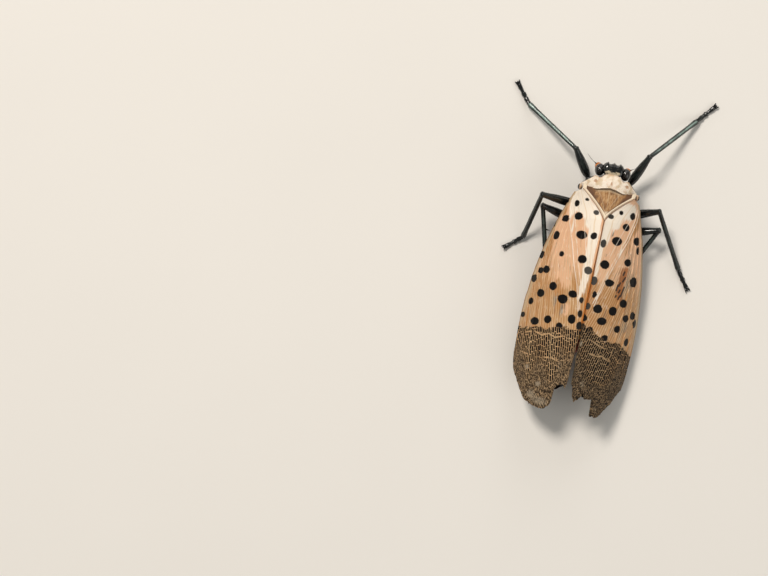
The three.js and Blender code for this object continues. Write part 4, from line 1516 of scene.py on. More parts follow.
@dataclass
class Abdomen:
    """The banded abdomen of seven rings, each overlapping the next, and the red valves at its end."""

    front_y: float = -7.4
    back_y: float = -16.9
    rings: int = 7
    sides: int = 80
    girths: tuple[float, float, float] = (2.28, 1.85, 1.55)  # half width, height above and depth below
    overlap: float = 0.1
    ring_shares: tuple = (0.0, 0.04, 0.1, 0.2, 0.35, 0.5, 0.65, 0.8, 0.9, 0.95, 0.985, 1.0)
    valves: tuple = (
        (-16.6, 3.05, 0.78, 0.66, 0.58), (-17.0, 3.05, 0.8, 0.66, 0.6), (-17.3, 3.02, 0.74, 0.6, 0.56),
        (-17.7, 2.98, 0.62, 0.5, 0.48), (-18.1, 2.94, 0.42, 0.34, 0.34), (-18.4, 2.9, 0.16, 0.14, 0.14),
    )

    def surface(self) -> Surface:
        """The rings, with the share of its own length that each point has gone as the mark "phase".

        Returns:
            The closed mesh under construction.
        """
        rows, phases = [], []
        for ring in range(self.rings):
            for share in self.ring_shares:
                t = (ring + share) / self.rings
                girth = (0.86 + 0.14 * math.sin(math.pi * min(1, t * 1.5 + 0.2))) * (1 - 0.58 * t**3)
                step = self.overlap * float(ease(share, 0, 0.5) - 0.9 * ease(share, 0.93, 1.0)) - 0.06
                y = lerp(self.front_y, self.back_y, t) - 0.001 * share
                rows.append((y, 3.35 - 0.25 * t, *(size * girth + step for size in self.girths)))
                phases.append(share)
        rings = np.array([self.ring(*row) for row in rows])
        surface = tube(rings)
        surface.marks["phase"] = np.concatenate([np.repeat(phases, self.sides), [0, 1]])
        return surface

    def ring(self, y: float, z: float, half: float, above: float, below: float) -> Array:
        """One ring of points, with a fold along each flank.

        Args:
            y: Its place along the body.
            z: Its middle's height.
            half: Its half width.
            above: Its height over the middle.
            below: Its depth under the middle.

        Returns:
            The points round it.
        """
        angle = np.linspace(0, 2 * np.pi, self.sides, endpoint=False)
        up = np.sin(angle)
        flank = 1 - 0.045 * np.exp(-(((np.abs(np.cos(angle)) - 0.96) / 0.03) ** 2)) * (up < 0)
        x = half * np.cos(angle) * flank
        return np.stack([x, np.full_like(x, y), z + np.where(up > 0, above, below) * up], -1)

    def build(self, material: bpy.types.Material, tip_material: bpy.types.Material) -> list[bpy.types.Object]:
        """Makes the abdomen and its end and puts them on show.

        Args:
            material: The rings' finish.
            tip_material: The valves' finish.

        Returns:
            The two pieces.
        """
        body = present(self.surface().mesh("abdomen_rings"), material, "abdomen", "abdomen")
        valves = loft(self.valves, 48, 40)
        x, y, z = np.moveaxis(valves, -1, 0)
        cleft = 1 - hump(x, 0.28, 0.09) * (z < 3.0) * ease(-y, 17, 17.6)
        valves[..., 2] = 3.0 + (z - 3.0) * cleft
        end = present(tube(valves).mesh("abdomen_valves"), tip_material, "abdomen_tip", "abdomen_tip")
        return [body, end]


# Head


@dataclass
class Head:
    """The short black head: a keeled face, sunken beside the eyes, and cream patches on its crown."""

    rings: tuple = (
        (5.74, 0.3, -0.3, 0.5), (5.7, 0.5, -0.4, 0.78), (5.58, 0.66, -0.42, 0.94), (5.25, 0.8, -0.44, 1.06),
        (4.7, 0.84, -0.44, 1.08), (4.1, 0.82, -0.42, 1.02), (3.55, 0.78, -0.38, 0.96), (3.1, 0.7, -0.3, 0.78),
        (2.75, 0.64, -0.2, 0.52), (2.3, 0.5, 0, 0.34), (2.12, 0.42, 0.1, 0.22),
    )
    ring_half: tuple = (
        (0, 1), (0.07, 0.95), (0.3, 0.93), (0.48, 0.93), (0.57, 1), (0.66, 0.92), (0.86, 0.78), (0.98, 0.4),
        (1, -0.1), (0.9, -0.65), (0.55, -0.98), (0, -1),
    )
    middle_keel: tuple[float, float] = (0.05, 0.045)  # rise and breadth
    side_keels: tuple[float, float] = (0.04, 0.05)
    lobe_rise: float = 0.055
    eye_gap: float = 0.03
    knob_depth: float = 0.05
    pale_patches: tuple = (
        (-0.5, -0.12, 0.34, 0.16, 1), (0.55, -0.1, 0.3, 0.16, 0.9), (0, -0.32, 0.7, 0.12, 1),
        (-0.22, 0.12, 0.08, 0.3, 0.7),
    )
    levels: int = 80
    half_sides: int = 60

    def surface(self) -> Surface:
        """The skull, with cream patches as the mark "pale" and the keels as "keel".

        Returns:
            The closed mesh under construction.
        """
        fall = np.linspace(self.rings[0][0], self.rings[-1][0], self.levels)
        front, back, half = follow(self.rings, fall).T
        places = np.linspace(0, 1, self.half_sides)
        numbered = [(k / (len(self.ring_half) - 1), *point) for k, point in enumerate(self.ring_half)]
        out, deep = follow(numbered, places).T
        out = np.concatenate([out, -out[-2:0:-1]])
        deep = np.concatenate([deep, deep[-2:0:-1]])
        keel = hump(out, *self.middle_keel) * (deep > 0)
        keel = keel + hump(np.abs(out) - 0.57, *self.side_keels) * (deep > 0.8)
        middle = (front + back)[:, None] / 2
        lobes = self.lobe_rise * np.cos(3 * np.pi * out) * ease(deep, 0.5, 0.95)
        x = half[:, None] * out
        y = middle + deep * (front - back)[:, None] / 2 + keel * ease(5.6 - fall, 0, 0.3)[:, None]
        y = y + lobes * (ease(5.72 - fall, 0, 0.15) * ease(fall, 4.0, 5.0))[:, None]
        z = np.broadcast_to(fall[:, None], x.shape)
        skull = np.stack([x, y, z], -1)
        for side in (-1, 1):
            eye, knob = (np.array([side * one.x, one.y, one.z]) for one in (EYE, KNOB))
            skull = self.pressed(skull, eye, np.array(EYE.halves) + self.eye_gap)
            skull = self.pressed(skull, knob, KNOB.radius - self.knob_depth)
        surface = tube(skull)
        x, y, z = surface.points.T
        crown = ease(z, 5.1, 5.45)
        surface.marks["pale"] = soft_patches(surface.points, self.pale_patches) * crown
        lines = hump(np.abs(x) - 0.3 - 0.25 * clamp(y), 1, 0.05) * crown + hump(x, 1, 0.04) * (y > 0.4)
        surface.marks["keel"] = clamp(lines)
        return surface

    @staticmethod
    def pressed(points: Array, centre: Array, halves: Array | float) -> Array:
        """Pushes points out of an oval body, as the socket that it sits in.

        Args:
            points: The skin's points.
            centre: The oval's middle.
            halves: Half its size along each axis, or one number for all three.

        Returns:
            The points, none of them inside the oval.
        """
        way = (points - centre) / halves
        reach = np.linalg.norm(way, axis=-1, keepdims=True)
        return np.where(reach < 1, centre + way / np.maximum(reach, 1e-3) * halves, points)

    def build(self, material: bpy.types.Material) -> bpy.types.Object:
        """Makes the head and puts it on show."""
        return present(self.surface().mesh("head_capsule", 40), material, "body_black", "head")


def grow_tree(name: str, inputs: dict[str, str], shape: Callable[[Graph, Any], Any]) -> bpy.types.NodeTree:
    """Makes a geometry tree that ends in one plain, dressed mesh.

    Args:
        name: The tree's name.
        inputs: The kind of each named input besides the geometry and the finish.
        shape: Adds the tree's own nodes to a graph, from the input node's outputs, and returns the geometry.

    Returns:
        The tree.
    """
    tree = bpy.data.node_groups.new(name, "GeometryNodeTree")
    for title, kind in {"Geometry": "Geometry", **inputs, "Finish": "Material"}.items():
        tree.interface.new_socket(name=title, in_out="INPUT", socket_type=f"NodeSocket{kind}")
    tree.interface.new_socket(name="Geometry", in_out="OUTPUT", socket_type="NodeSocketGeometry")
    graph = Graph(tree)
    sizes = graph.add(Recipe("NodeGroupInput", (), (), None)).outputs
    real = graph.add(Recipe("GeometryNodeRealizeInstances", (), ("Geometry",)), shape(graph, sizes))
    finish = Recipe("GeometryNodeSetMaterial", (), ("Geometry", "Material"))
    graph.add(Recipe("NodeGroupOutput", (), ("Geometry",), None), graph.add(finish, real, sizes["Finish"]))
    return tree


@dataclass(frozen=True)
class CellRelief:
    """A rounded body whose whole surface is raised or sunk in close cells, made as a node tree."""

    name: str
    splits: int  # of the ball that sets how many cells there are
    rise: float  # of each cell, as a share of the radius; less than 0 sinks it
    inset: float  # the size of a cell's top as a share of its foot

    @staticmethod
    def shape(graph: Graph, sizes: Any) -> Any:
        """Adds the nodes that raise or sink a cell on each face of a ball's dual.

        Args:
            graph: The tree's graph.
            sizes: The outputs of its input node.

        Returns:
            The smooth ball's geometry.
        """
        ico = Recipe("GeometryNodeMeshIcoSphere", (), ("Radius", "Subdivisions"))
        extrude = Recipe("GeometryNodeExtrudeMesh", (), ("Mesh", "Offset Scale"), None)
        scale = Recipe("GeometryNodeScaleElements", (), ("Geometry", "Selection", "Scale"))
        dual = graph.add(Recipe("GeometryNodeDualMesh", (), ("Mesh",)), graph.add(ico, 1.0, sizes["Splits"]))
        cells = graph.add(extrude, dual, sizes["Rise"]).outputs
        inset = graph.add(scale, cells["Mesh"], cells["Top"], sizes["Inset"])
        smooth = graph.add(Recipe("GeometryNodeSubdivisionSurface", (), ("Mesh", "Level")), inset, 1)
        return graph.add(Recipe("GeometryNodeSetShadeSmooth", (), ("Geometry",)), smooth)

    def ball(self, material: bpy.types.Material) -> Surface:
        """Makes the tree, runs it and returns the unit ball that it makes.

        Args:
            material: The finish.

        Returns:
            The ball, with a radius of 1.
        """
        tree = grow_tree(self.name, {"Splits": "Int", "Rise": "Float", "Inset": "Float"}, self.shape)
        settings = {"Splits": self.splits, "Rise": self.rise, "Inset": self.inset, "Finish": material}
        mesh = run_tree(tree, bpy.data.meshes.new(self.name), settings)
        points = np.empty(len(mesh.vertices) * 3)
        mesh.vertices.foreach_get("co", points)
        return Surface(points.reshape(-1, 3), [tuple(face.vertices) for face in mesh.polygons])


def run_tree(tree: bpy.types.NodeTree, mesh: bpy.types.Mesh, settings: dict[str, Any]) -> bpy.types.Mesh:
    """Runs a geometry tree on a mesh and returns a plain mesh.

    Args:
        tree: The tree.
        mesh: What it starts from.
        settings: Values for its inputs, by name.

    Returns:
        The result, with no modifier left.
    """
    host = bpy.data.objects.new(f"{tree.name}_host", mesh)
    bpy.context.scene.collection.objects.link(host)
    modifier = host.modifiers.new(tree.name, "NODES")
    modifier.node_group = tree
    for item in tree.interface.items_tree:
        if item.in_out == "INPUT" and item.name in settings:
            modifier[item.identifier] = settings[item.name]
    bpy.context.view_layer.update()
    result = bpy.data.meshes.new_from_object(host.evaluated_get(bpy.context.evaluated_depsgraph_get()))
    bpy.data.objects.remove(host)
    return result


@dataclass
class Eye:
    """A compound eye: an oval set all over with small facets."""

    x: float = 1.3
    y: float = -0.03
    z: float = 4.95
    halves: tuple[float, float, float] = (0.5, 0.63, 0.55)
    facet_reach: float = 1.02  # how far out the facets stand on the ball of radius 1
    facets: CellRelief = CellRelief("eye_facets", 5, 0.008, 0.8)

    def build(self, side: Side, material: bpy.types.Material) -> bpy.types.Object:
        """Makes one eye and puts it on show.

        Args:
            side: The side of the body.
            material: Its finish.

        Returns:
            The piece.
        """
        ball = self.facets.ball(material)
        size = np.array(self.halves) / self.facet_reach
        ball.points = ball.points * size * [side.value, 1, 1] + [side.value * self.x, self.y, self.z]
        name = f"eye_{side.word}"
        return present(ball.mesh(f"{name}_facets", 75), material, "eye", name)


@dataclass
class Antenna:
    """The feeler under the eye: an orange knob covered in sensory pits, and a fine whip."""

    x: float = 1.44
    y: float = 0.36
    z: float = 3.88
    radius: float = 0.37
    pits: CellRelief = CellRelief("knob_pits", 4, -0.06, 0.6)

    def build(self, side: Side, material: bpy.types.Material) -> bpy.types.Object:
        """Makes one feeler and puts it on show.

        Args:
            side: The side of the body.
            material: Its finish.

        Returns:
            The piece.
        """
        knob = self.pits.ball(material)
        x, y, z = knob.points.T
        pear = 1 + 0.08 * x
        knob.points = np.stack([x, y * pear, z * pear], -1) * self.radius * 0.98 + [self.x, self.y, self.z]
        knob.marks["whip"] = np.zeros(len(knob.points))
        start = np.array([self.x + 0.22, self.y + 0.15, self.z + 0.05])
        whip_path = (start, start + [0.25, 0.14, 0.08], (2.3, 0.9, 4.0), (2.75, 1.35, 3.75))
        thinning = ((0, 0.07), (0.06, 0.08), (0.12, 0.06), (0.2, 0.035), (0.6, 0.022), (1, 0.01))
        whip = limb(whip_path, thinning, Section(12), 50)
        whip.marks = {"whip": ease(whip.marks["reach"], 0.0, 0.06)}
        stalk = ball((self.x - 0.25, self.y - 0.05, self.z), (0.26, 0.24, 0.24), 24, 14)
        surface = knob.joined(whip, stalk)
        surface.points = surface.points * [side.value, 1, 1]
        name = f"antenna_{side.word}"
        return present(surface.mesh(f"{name}_knob"), material, "antenna_orange", name)


EYE = Eye()
KNOB = Antenna()


@dataclass
class Beak:
    """The long jointed beak, laid back between the legs."""

    bends: tuple = (
        (0, 0.3, 2.25), (0, 0.22, 1.8), (0, 0.05, 1.45), (0, -0.5, 1.26), (0, -2, 1.12), (0, -8, 0.98),
    )
    profile: tuple = (
        (0, 0.2), (0.03, 0.28), (0.1, 0.28), (0.16, 0.23), (0.17, 0.26), (0.3, 0.25), (0.45, 0.22),
        (0.46, 0.25), (0.7, 0.22), (0.9, 0.19), (0.97, 0.14), (1, 0.05),
    )

    def build(self, material: bpy.types.Material) -> bpy.types.Object:
        """Makes the beak, with the groove along its front, and puts it on show."""
        surface = limb(self.bends, self.profile, Section(28, 0.92, 3, 0.06), 90)
        return present(surface.mesh("beak_sheath"), material, "body_black", "beak")


# Collar and shield


@dataclass
class Collar:
    """The pale saddle behind the head, notched for the eyes, with two pits and a keel."""

    half: float = 2.8
    thickness: float = 0.3
    top: float = 6.6
    side_drop: float = 2.3
    front: tuple = (
        (0, -0.32), (0.45, -0.36), (0.8, -0.5), (1.05, -0.76), (1.25, -0.84), (1.5, -0.72), (1.75, -0.74),
        (2.1, -0.98), (2.45, -1.28), (2.8, -1.6),
    )
    back: tuple = ((0, -1.8), (0.6, -1.9), (1.4, -2.08), (2.1, -2.08), (2.55, -1.84), (2.8, -1.7))
    # Each pit's distance from the middle, Y, size and depth.
    pits: tuple = ((1.6, -1.25, 0.2, 0.09), (0.35, -1.2, 0.12, 0.03), (0.9, -1.5, 0.3, 0.03))
    brown_patches: tuple = (
        (1.6, -1.25, 0.26, 0.22, 1), (-1.55, -1.25, 0.26, 0.22, 1), (0, -1.25, 0.14, 0.26, 0.95),
        (0.42, -1.0, 0.3, 0.1, 0.5), (-0.4, -0.95, 0.3, 0.1, 0.5), (1.9, -1.6, 0.16, 0.1, 0.45),
    )
    keel: tuple[float, float] = (0.06, 0.06)  # rise and breadth
    columns: int = 170
    rows: int = 60

    def level(self, x: Array, y: Array, reach: Array) -> Array:
        """The height of the collar's face.

        Args:
            x: The place across.
            y: The place along the body.
            reach: The share of the way from the front edge to the hind one.

        Returns:
            The height, with the keel, the pits and the rolled edges.
        """
        out = np.abs(x)
        z = self.top - 0.16 * y - self.side_drop * (out / self.half) ** 2.6
        z = z - 0.3 * (1 - reach) ** 3 - 0.2 * reach**3
        z = z + hump(x, *self.keel) * ease(reach, 0, 0.2)
        for pit_x, pit_y, size, deep in self.pits:
            z = z - deep * np.exp(-(((out - pit_x) / size) ** 2) - (((y - pit_y) / size) ** 2))
        z = z + 0.03 * unevenness(x / 1.7 + y * 0.3, 2.2) * unevenness(y / 1.3, 0.6)
        ridge = hump(reach - 0.93, 0.05, 0.035) - 0.05 * ease(reach, 0.95, 1)
        return z + ridge - 0.08 * ease(0.04 - reach, 0, 0.04) - 0.1 * ease(out, self.half - 0.06, self.half)

    def surface(self) -> Surface:
        """The saddle's plate, with its brown marks, its black side rims and its hind line as marks.

        Returns:
            The closed mesh under construction.
        """
        x = self.half * np.sin(np.linspace(-np.pi / 2, np.pi / 2, self.columns))
        reach = np.linspace(0, 1, self.rows)[:, None]
        y = lerp(follow(self.front, np.abs(x)), follow(self.back, np.abs(x)), reach)
        x = np.broadcast_to(x, y.shape)
        reach = np.broadcast_to(reach, y.shape)
        top = np.stack([x, y, self.level(x, y, reach)], -1)
        middle = lerp(y.mean(axis=0), y, 0.985)
        thick = self.thickness * ease(reach, -0.35, 0.3) * (1 - 0.6 * ease(reach, 0.5, 1))
        under = np.stack([x * 0.985, middle, top[..., 2] - thick], -1)
        marks = {
            "brown": soft_patches(top.reshape(-1, 3), self.brown_patches),
            "rim": ease(np.abs(x), 1.5, 2.1) * ease(0.1 - reach * (3.15 - np.abs(x)), -0.05, 0.05),
            "hem": ease(reach, 0.9, 0.97),
            "reach": reach,
        }
        return plate(top, under, marks)

    def build(self, material: bpy.types.Material) -> bpy.types.Object:
        """Makes the collar and puts it on show."""
        return present(self.surface().mesh("pronotum_saddle", 60), material, "pronotum_cream", "pronotum")


@dataclass
class Shield:
    """The brown shield between the forewings, with three low keels."""

    overlap: float = 0.04  # how far its sides go under the forewings' margins
    sink: float = 0.12
    thickness: float = 0.3
    columns: int = 110
    rows: int = 90

    def surface(self) -> Surface:
        """The shield's plate, with its place across and its dark corners as marks.

        Returns:
            The closed mesh under construction.
        """
        u = np.linspace(-1, 1, self.columns)
        reach = np.linspace(0, 1, self.rows)[:, None]
        half_front = ROOF.base_half + self.overlap
        front = follow(COLLAR.back, np.abs(u) * half_front) + 0.15
        y = lerp(front, ROOF.scutellum_tip_y + 0.02, reach)
        inner_x, edge_z = ROOF.inner(np.minimum(y, ROOF.base_y))
        half = inner_x + self.overlap
        x = u * half
        rise = 0.75 * (1 - reach) ** 0.6 * (1 - 0.35 * (1 - reach) ** 4)
        rim = (half - np.abs(x)) * SLANT
        dome = (1 - u**2) * rise - self.sink + hump(rim - 0.17, 0.05, 0.1)
        keels = hump(u, 1, 0.03) + hump(np.abs(u) - 0.42 + 0.2 * reach, 0.8, 0.035)
        wrinkles = 0.012 * unevenness(u * 3.2, 0.4) * unevenness(reach * 2.0 + u, 3.0)
        z = edge_z + dome + (0.05 * keels + wrinkles) * ease(1 - reach, 0.15, 0.5)
        top = np.stack([x, y, z], -1)
        across = np.broadcast_to(u, y.shape)
        marks = {
            "across": across,
            "corner": ease(np.abs(across), 0.4, 0.85) * ease(1 - reach, 0.3, 0.8),
            "reach": np.broadcast_to(reach, y.shape),
            "keel": keels * ease(1 - reach, 0.2, 0.45),
            "edge": rim,
        }
        return plate(top, top - [0, 0, self.thickness], marks)

    def build(self, material: bpy.types.Material) -> bpy.types.Object:
        """Makes the shield and puts it on show."""
        return present(self.surface().mesh("mesonotum_shield"), material, "mesonotum_brown", "mesonotum")


@dataclass
class Tegula:
    """The small pale scale over a forewing's root."""

    centre: tuple = (2.86, -2.06, 4.98)
    halves: tuple = (0.24, 0.32, 0.46)
    black_below: float = 5.0
    black_beyond: tuple[float, float] = (2.94, 3.0)  # where its black rim starts and is full

    def build(self, side: Side, material: bpy.types.Material) -> bpy.types.Object:
        """Makes one scale and puts it on show.

        Args:
            side: The side of the body.
            material: Its finish.

        Returns:
            The piece.
        """
        scale = ball((0, 0, 0), self.halves, 36, 26)
        x, y, z = scale.points.T
        scale.points[:, 0] = x * (1 + 0.25 * z) + 0.06 * np.sin(3 * z)
        scale.points = (scale.points + self.centre) * [side.value, 1, 1]
        x, y, z = scale.points.T
        low = ease(self.black_below - z, 0, 0.12)
        scale.marks["rim"] = np.maximum(low, ease(np.abs(x), *self.black_beyond))
        name = f"tegula_{side.word}"
        return present(scale.mesh(f"{name}_scale"), material, "pronotum_cream", name)


COLLAR = Collar()


# Legs

# Hip, thigh's start, knee, ankle and foot's end of each leg, as the frame has them.
LEG_PLACES = {
    "front_right": (
        (1.35, -1.45, 1.68), (2, -0.95, 1.6), (3.36, 2.24, 3.5), (7.5, 6.95, 0.5), (9, 8.75, 0.2),
    ),
    "front_left": (
        (-1.35, -1.45, 1.68), (-2, -1, 1.6), (-3.9, 1.62, 2.9), (-9.35, 5.2, 0.5), (-10.8, 7, 0.2),
    ),
    "middle_right": (
        (1.1, -4.2, 1.5), (1.8, -4.05, 1.4), (5.45, -2.85, 3.6), (8.75, -8, 0.5), (10, -9.7, 0.2),
    ),
    "middle_left": (
        (-1.1, -3.8, 1.5), (-1.8, -3.8, 1.4), (-6.35, -3.6, 4.5), (-7.2, -8, 0.5), (-8.7, -9.3, 0.2),
    ),
    "hind_right": (
        (1.2, -6, 1.5), (1.95, -5.7, 1.4), (5.85, -4.65, 2.8), (2.6, -11.5, 0.5), (2.2, -13.6, 0.2),
    ),
    "hind_left": (
        (-1.2, -5.7, 1.5), (-1.95, -5.5, 1.4), (-6, -4.6, 2.8), (-3.9, -12, 0.5), (-3.6, -14.1, 0.2),
    ),
}


@dataclass
class Leg:
    """One leg as a single piece: hip, thigh, keeled shin, three-jointed foot, claws and pad."""

    name: str
    hip_radius: float = 0.42
    thigh_radius: float = 0.43
    shin_radius: float = 0.225
    foot_radius: float = 0.25

    @staticmethod
    def between(ends: Sequence[Array], profile: Points, section: Section, count: int = 44) -> Surface:
        """A straight limb between two points."""
        start, end = ends
        return limb((start, (start + end) / 2, end), profile, section, count)

    def surface(self) -> Surface:
        """The leg's segments, each a closed form that sits in the one before.

        Returns:
            The closed mesh under construction.
        """
        hip, start, knee, ankle, toe = (np.array(place, float) for place in LEG_PLACES[self.name])
        root = hip + [-0.55 * np.sign(hip[0]), -0.1, 0.75]
        r = self.hip_radius
        hip_profile = ((0, r * 1.2), (0.25, r * 1.15), (0.6, r), (0.85, r * 0.85), (1, r * 0.5))
        coxa = self.between((root, start), hip_profile, Section(28))
        turn = ball(start, (0.33, 0.33, 0.33), 28, 18)
        up = (knee - start) / np.linalg.norm(knee - start)
        down = (ankle - knee) / np.linalg.norm(ankle - knee)
        r = self.thigh_radius
        thigh_profile = (
            (0, 0.12), (0.015, 0.2), (0.06, 0.29), (0.22, r * 0.97), (0.4, r), (0.65, r * 0.88), (0.84, 0.29),
            (0.92, 0.27), (0.97, 0.285), (0.99, 0.22), (1, 0.1),
        )
        ends = (start + up * 0.16, knee + up * 0.22)
        thigh = self.between(ends, thigh_profile, Section(28, 0.95, 4, 0.05), 60)
        r = self.shin_radius
        shin_profile = (
            (0, 0.1), (0.012, 0.17), (0.035, 0.21), (0.07, 0.2), (0.14, r * 0.92), (0.5, r * 0.96), (0.85, r),
            (0.94, r * 1.12), (0.98, r * 1.1), (1, r * 0.6),
        )
        ends = (knee - down * 0.12, ankle + down * 0.04)
        shin = self.between(ends, shin_profile, Section(28, 0.88, 4, 0.09), 90)
        # The front shins take patchy wax and a painted highlight along their tops; the other legs and the
        # thighs far less.
        wax_and_highlight = 1.0 if self.name.startswith("front") else 0.12
        shin.marks["bloom"] = wax_and_highlight * ease(shin.marks["reach"], 0.03, 0.2)
        thigh.marks["bloom"] = 0.03 * wax_and_highlight * ease(thigh.marks["reach"], 0.1, 0.4)
        pieces = [turn, thigh, shin, *self.foot(ankle, toe), *self.spurs(knee, ankle)]
        return coxa.joined(*pieces).standing()

    def spurs(self, knee: Array, ankle: Array) -> list[Surface]:
        """The short spines round a shin's end, and the thorns along a hind shin.

        Args:
            knee: The shin's start.
            ankle: The shin's end.

        Returns:
            The spines.
        """
        way = ankle - knee
        length = np.linalg.norm(way)
        way = way / length
        side = np.cross([0, 0, 1.0], way)
        side /= np.linalg.norm(side)
        up = np.cross(way, side)
        spines = []
        for k in range(7):
            angle = 2 * np.pi * k / 7 + 0.3
            out = np.cos(angle) * side + np.sin(angle) * up
            base = ankle - way * 0.1 + out * 0.16
            spines.append(self.spine(base, base + out * 0.12 + way * 0.24, 0.05))
        if self.name.startswith("hind"):
            outward = -side * np.sign(knee[0])
            for share in (0.3, 0.45, 0.6, 0.75, 0.9):
                base = knee + way * length * share
                spines.append(self.spine(base, base + outward * 0.58 + way * 0.22, 0.12))
        return spines

    @staticmethod
    def spine(base: Array, tip: Array, radius: float) -> Surface:
        """A pointed spine, slightly bent.

        Args:
            base: Where it grows.
            tip: Where it ends.
            radius: Its radius at the base.

        Returns:
            The spine, not joined to its host.
        """
        middle = (base + tip) / 2 + (tip - base)[[1, 0, 2]] * [0.04, -0.04, 0]
        profile = ((0, radius), (0.5, radius * 0.62), (0.85, radius * 0.28), (1, 0.008))
        return limb((base, middle, tip), profile, Section(10), 10)

    def foot(self, ankle: Array, toe: Array) -> list[Surface]:
        """The foot's three joints, flat soled, with a claw pair and the pad between them.

        Args:
            ankle: The shin's end.
            toe: The foot's end.

        Returns:
            The joints, the claws and the pad.
        """
        level = toe[2]
        way = (toe - ankle) * [1, 1, 0]
        length = np.linalg.norm(way)
        way /= length
        side = np.array([-way[1], way[0], 0])
        r = self.foot_radius
        cuts = ((-0.05, 0.34, r * 0.95), (0.28, 0.58, r), (0.52, 1.0, r * 0.92))
        joints = []
        for first, last, radius in cuts:
            ends = [ankle + way * length * share for share in (first, last)]
            ends[0][2] = lerp(ankle[2], level, clamp(first * 3.2))
            ends[1][2] = level
            shape = ((0, 0.45), (0.08, 0.62), (0.4, 0.8), (0.8, 1), (0.94, 0.85), (1, 0.4))
            profile = [(share, radius * size) for share, size in shape]
            joints.append(self.between(ends, profile, Section(22, 0.9), 26))
        claw_profile = ((0, 0.1), (0.5, 0.07), (0.85, 0.035), (1, 0.008))
        claws = []
        for k in (-1, 1):
            base = toe - way * 0.12 + side * 0.1 * k
            bend = toe + way * 0.2 + side * 0.2 * k + [0, 0, 0.1]
            tip = toe + way * 0.36 + side * 0.24 * k
            tip[2] = 0.03
            claws.append(limb((base, bend, tip), claw_profile, Section(12), 20))
        pad = ball(toe + way * 0.14 + [0, 0, -0.04], (0.14, 0.14, 0.12), 20, 12)
        return [*joints, *claws, pad]

    def build(self, material: bpy.types.Material) -> bpy.types.Object:
        """Makes the leg and puts it on show."""
        nodes = [f"leg_{self.name}_{piece}" for piece in ("hip", "thigh", "shin", "foot")]
        return present(self.surface().mesh(f"leg_{self.name}"), material, "body_black", *nodes)


@dataclass
class Bristles:
    """Short stiff hairs scattered over a piece, made as a node tree."""

    density: float = 9.0  # hairs to the square millimetre
    length: float = 0.14
    radius: float = 0.008
    lowest: float = 0.3  # none grow nearer to the floor than this

    @staticmethod
    def shape(graph: Graph, sizes: Any) -> Any:
        """Adds the nodes that scatter leaning hairs over a mesh.

        Args:
            graph: The tree's graph.
            sizes: The outputs of its input node.

        Returns:
            The hairs' geometry.
        """
        place = graph.add(Recipe("GeometryNodeInputPosition", (), ()))
        height = graph.add(Recipe("ShaderNodeSeparateXYZ", (), (0,), "Z"), place)
        above = Recipe("FunctionNodeCompare", (("operation", "GREATER_THAN"),))
        high = graph.add(above, height, sizes["Lowest"])
        names = ("Mesh", "Selection", "Density", "Seed")
        spread = Recipe("GeometryNodeDistributePointsOnFaces", (), names, None)
        points = graph.add(spread, sizes["Geometry"], high, sizes["Density"], sizes["Seed"]).outputs
        names = ("Vertices", "Radius Top", "Radius Bottom", "Depth")
        cone = Recipe("GeometryNodeMeshCone", (), names, "Mesh")
        hair = graph.add(cone, 4, 0.0, sizes["Radius"], sizes["Length"])
        lean = Recipe("FunctionNodeRandomValue", (("data_type", "FLOAT_VECTOR"),), (0, 1, "Seed"), 0)
        tilt = graph.add(lean, (-0.7, -0.7, 0.0), (0.7, 0.7, 6.28), 3)
        turn = Recipe("FunctionNodeRotateRotation", (("rotation_space", "LOCAL"),), (0, 1), 0)
        turned = graph.add(turn, points["Rotation"], tilt)
        scale = Recipe("FunctionNodeRandomValue", (("data_type", "FLOAT"),), (2, 3, "Seed"), 1)
        size = graph.add(scale, 0.5, 1.2, 5)
        grow = Recipe("GeometryNodeInstanceOnPoints", (), ("Points", "Instance", "Rotation", "Scale"))
        return graph.add(grow, points["Points"], hair, turned, size)

    def build(self, hosts: list[bpy.types.Object], material: bpy.types.Material) -> list[bpy.types.Object]:
        """Grows hairs on each host piece and puts them on show.

        Args:
            hosts: The pieces that carry the hairs.
            material: The hairs' finish.

        Returns:
            One piece of hairs for each host.
        """
        sizes = dict.fromkeys(("Density", "Length", "Radius", "Lowest"), "Float")
        tree = grow_tree("bristle_scatter", {**sizes, "Seed": "Int"}, self.shape)
        grown = []
        for number, host in enumerate(hosts):
            settings = {
                "Density": self.density / MM**2, "Length": self.length * MM, "Radius": self.radius * MM,
                "Lowest": self.lowest * MM, "Seed": number + 11, "Finish": material,
            }
            mesh = run_tree(tree, host.data.copy(), settings)
            mesh.name = f"{host.name}_bristles"
            grown.append(present(mesh, material, "body_black"))
        return grown


# Finishes of the body


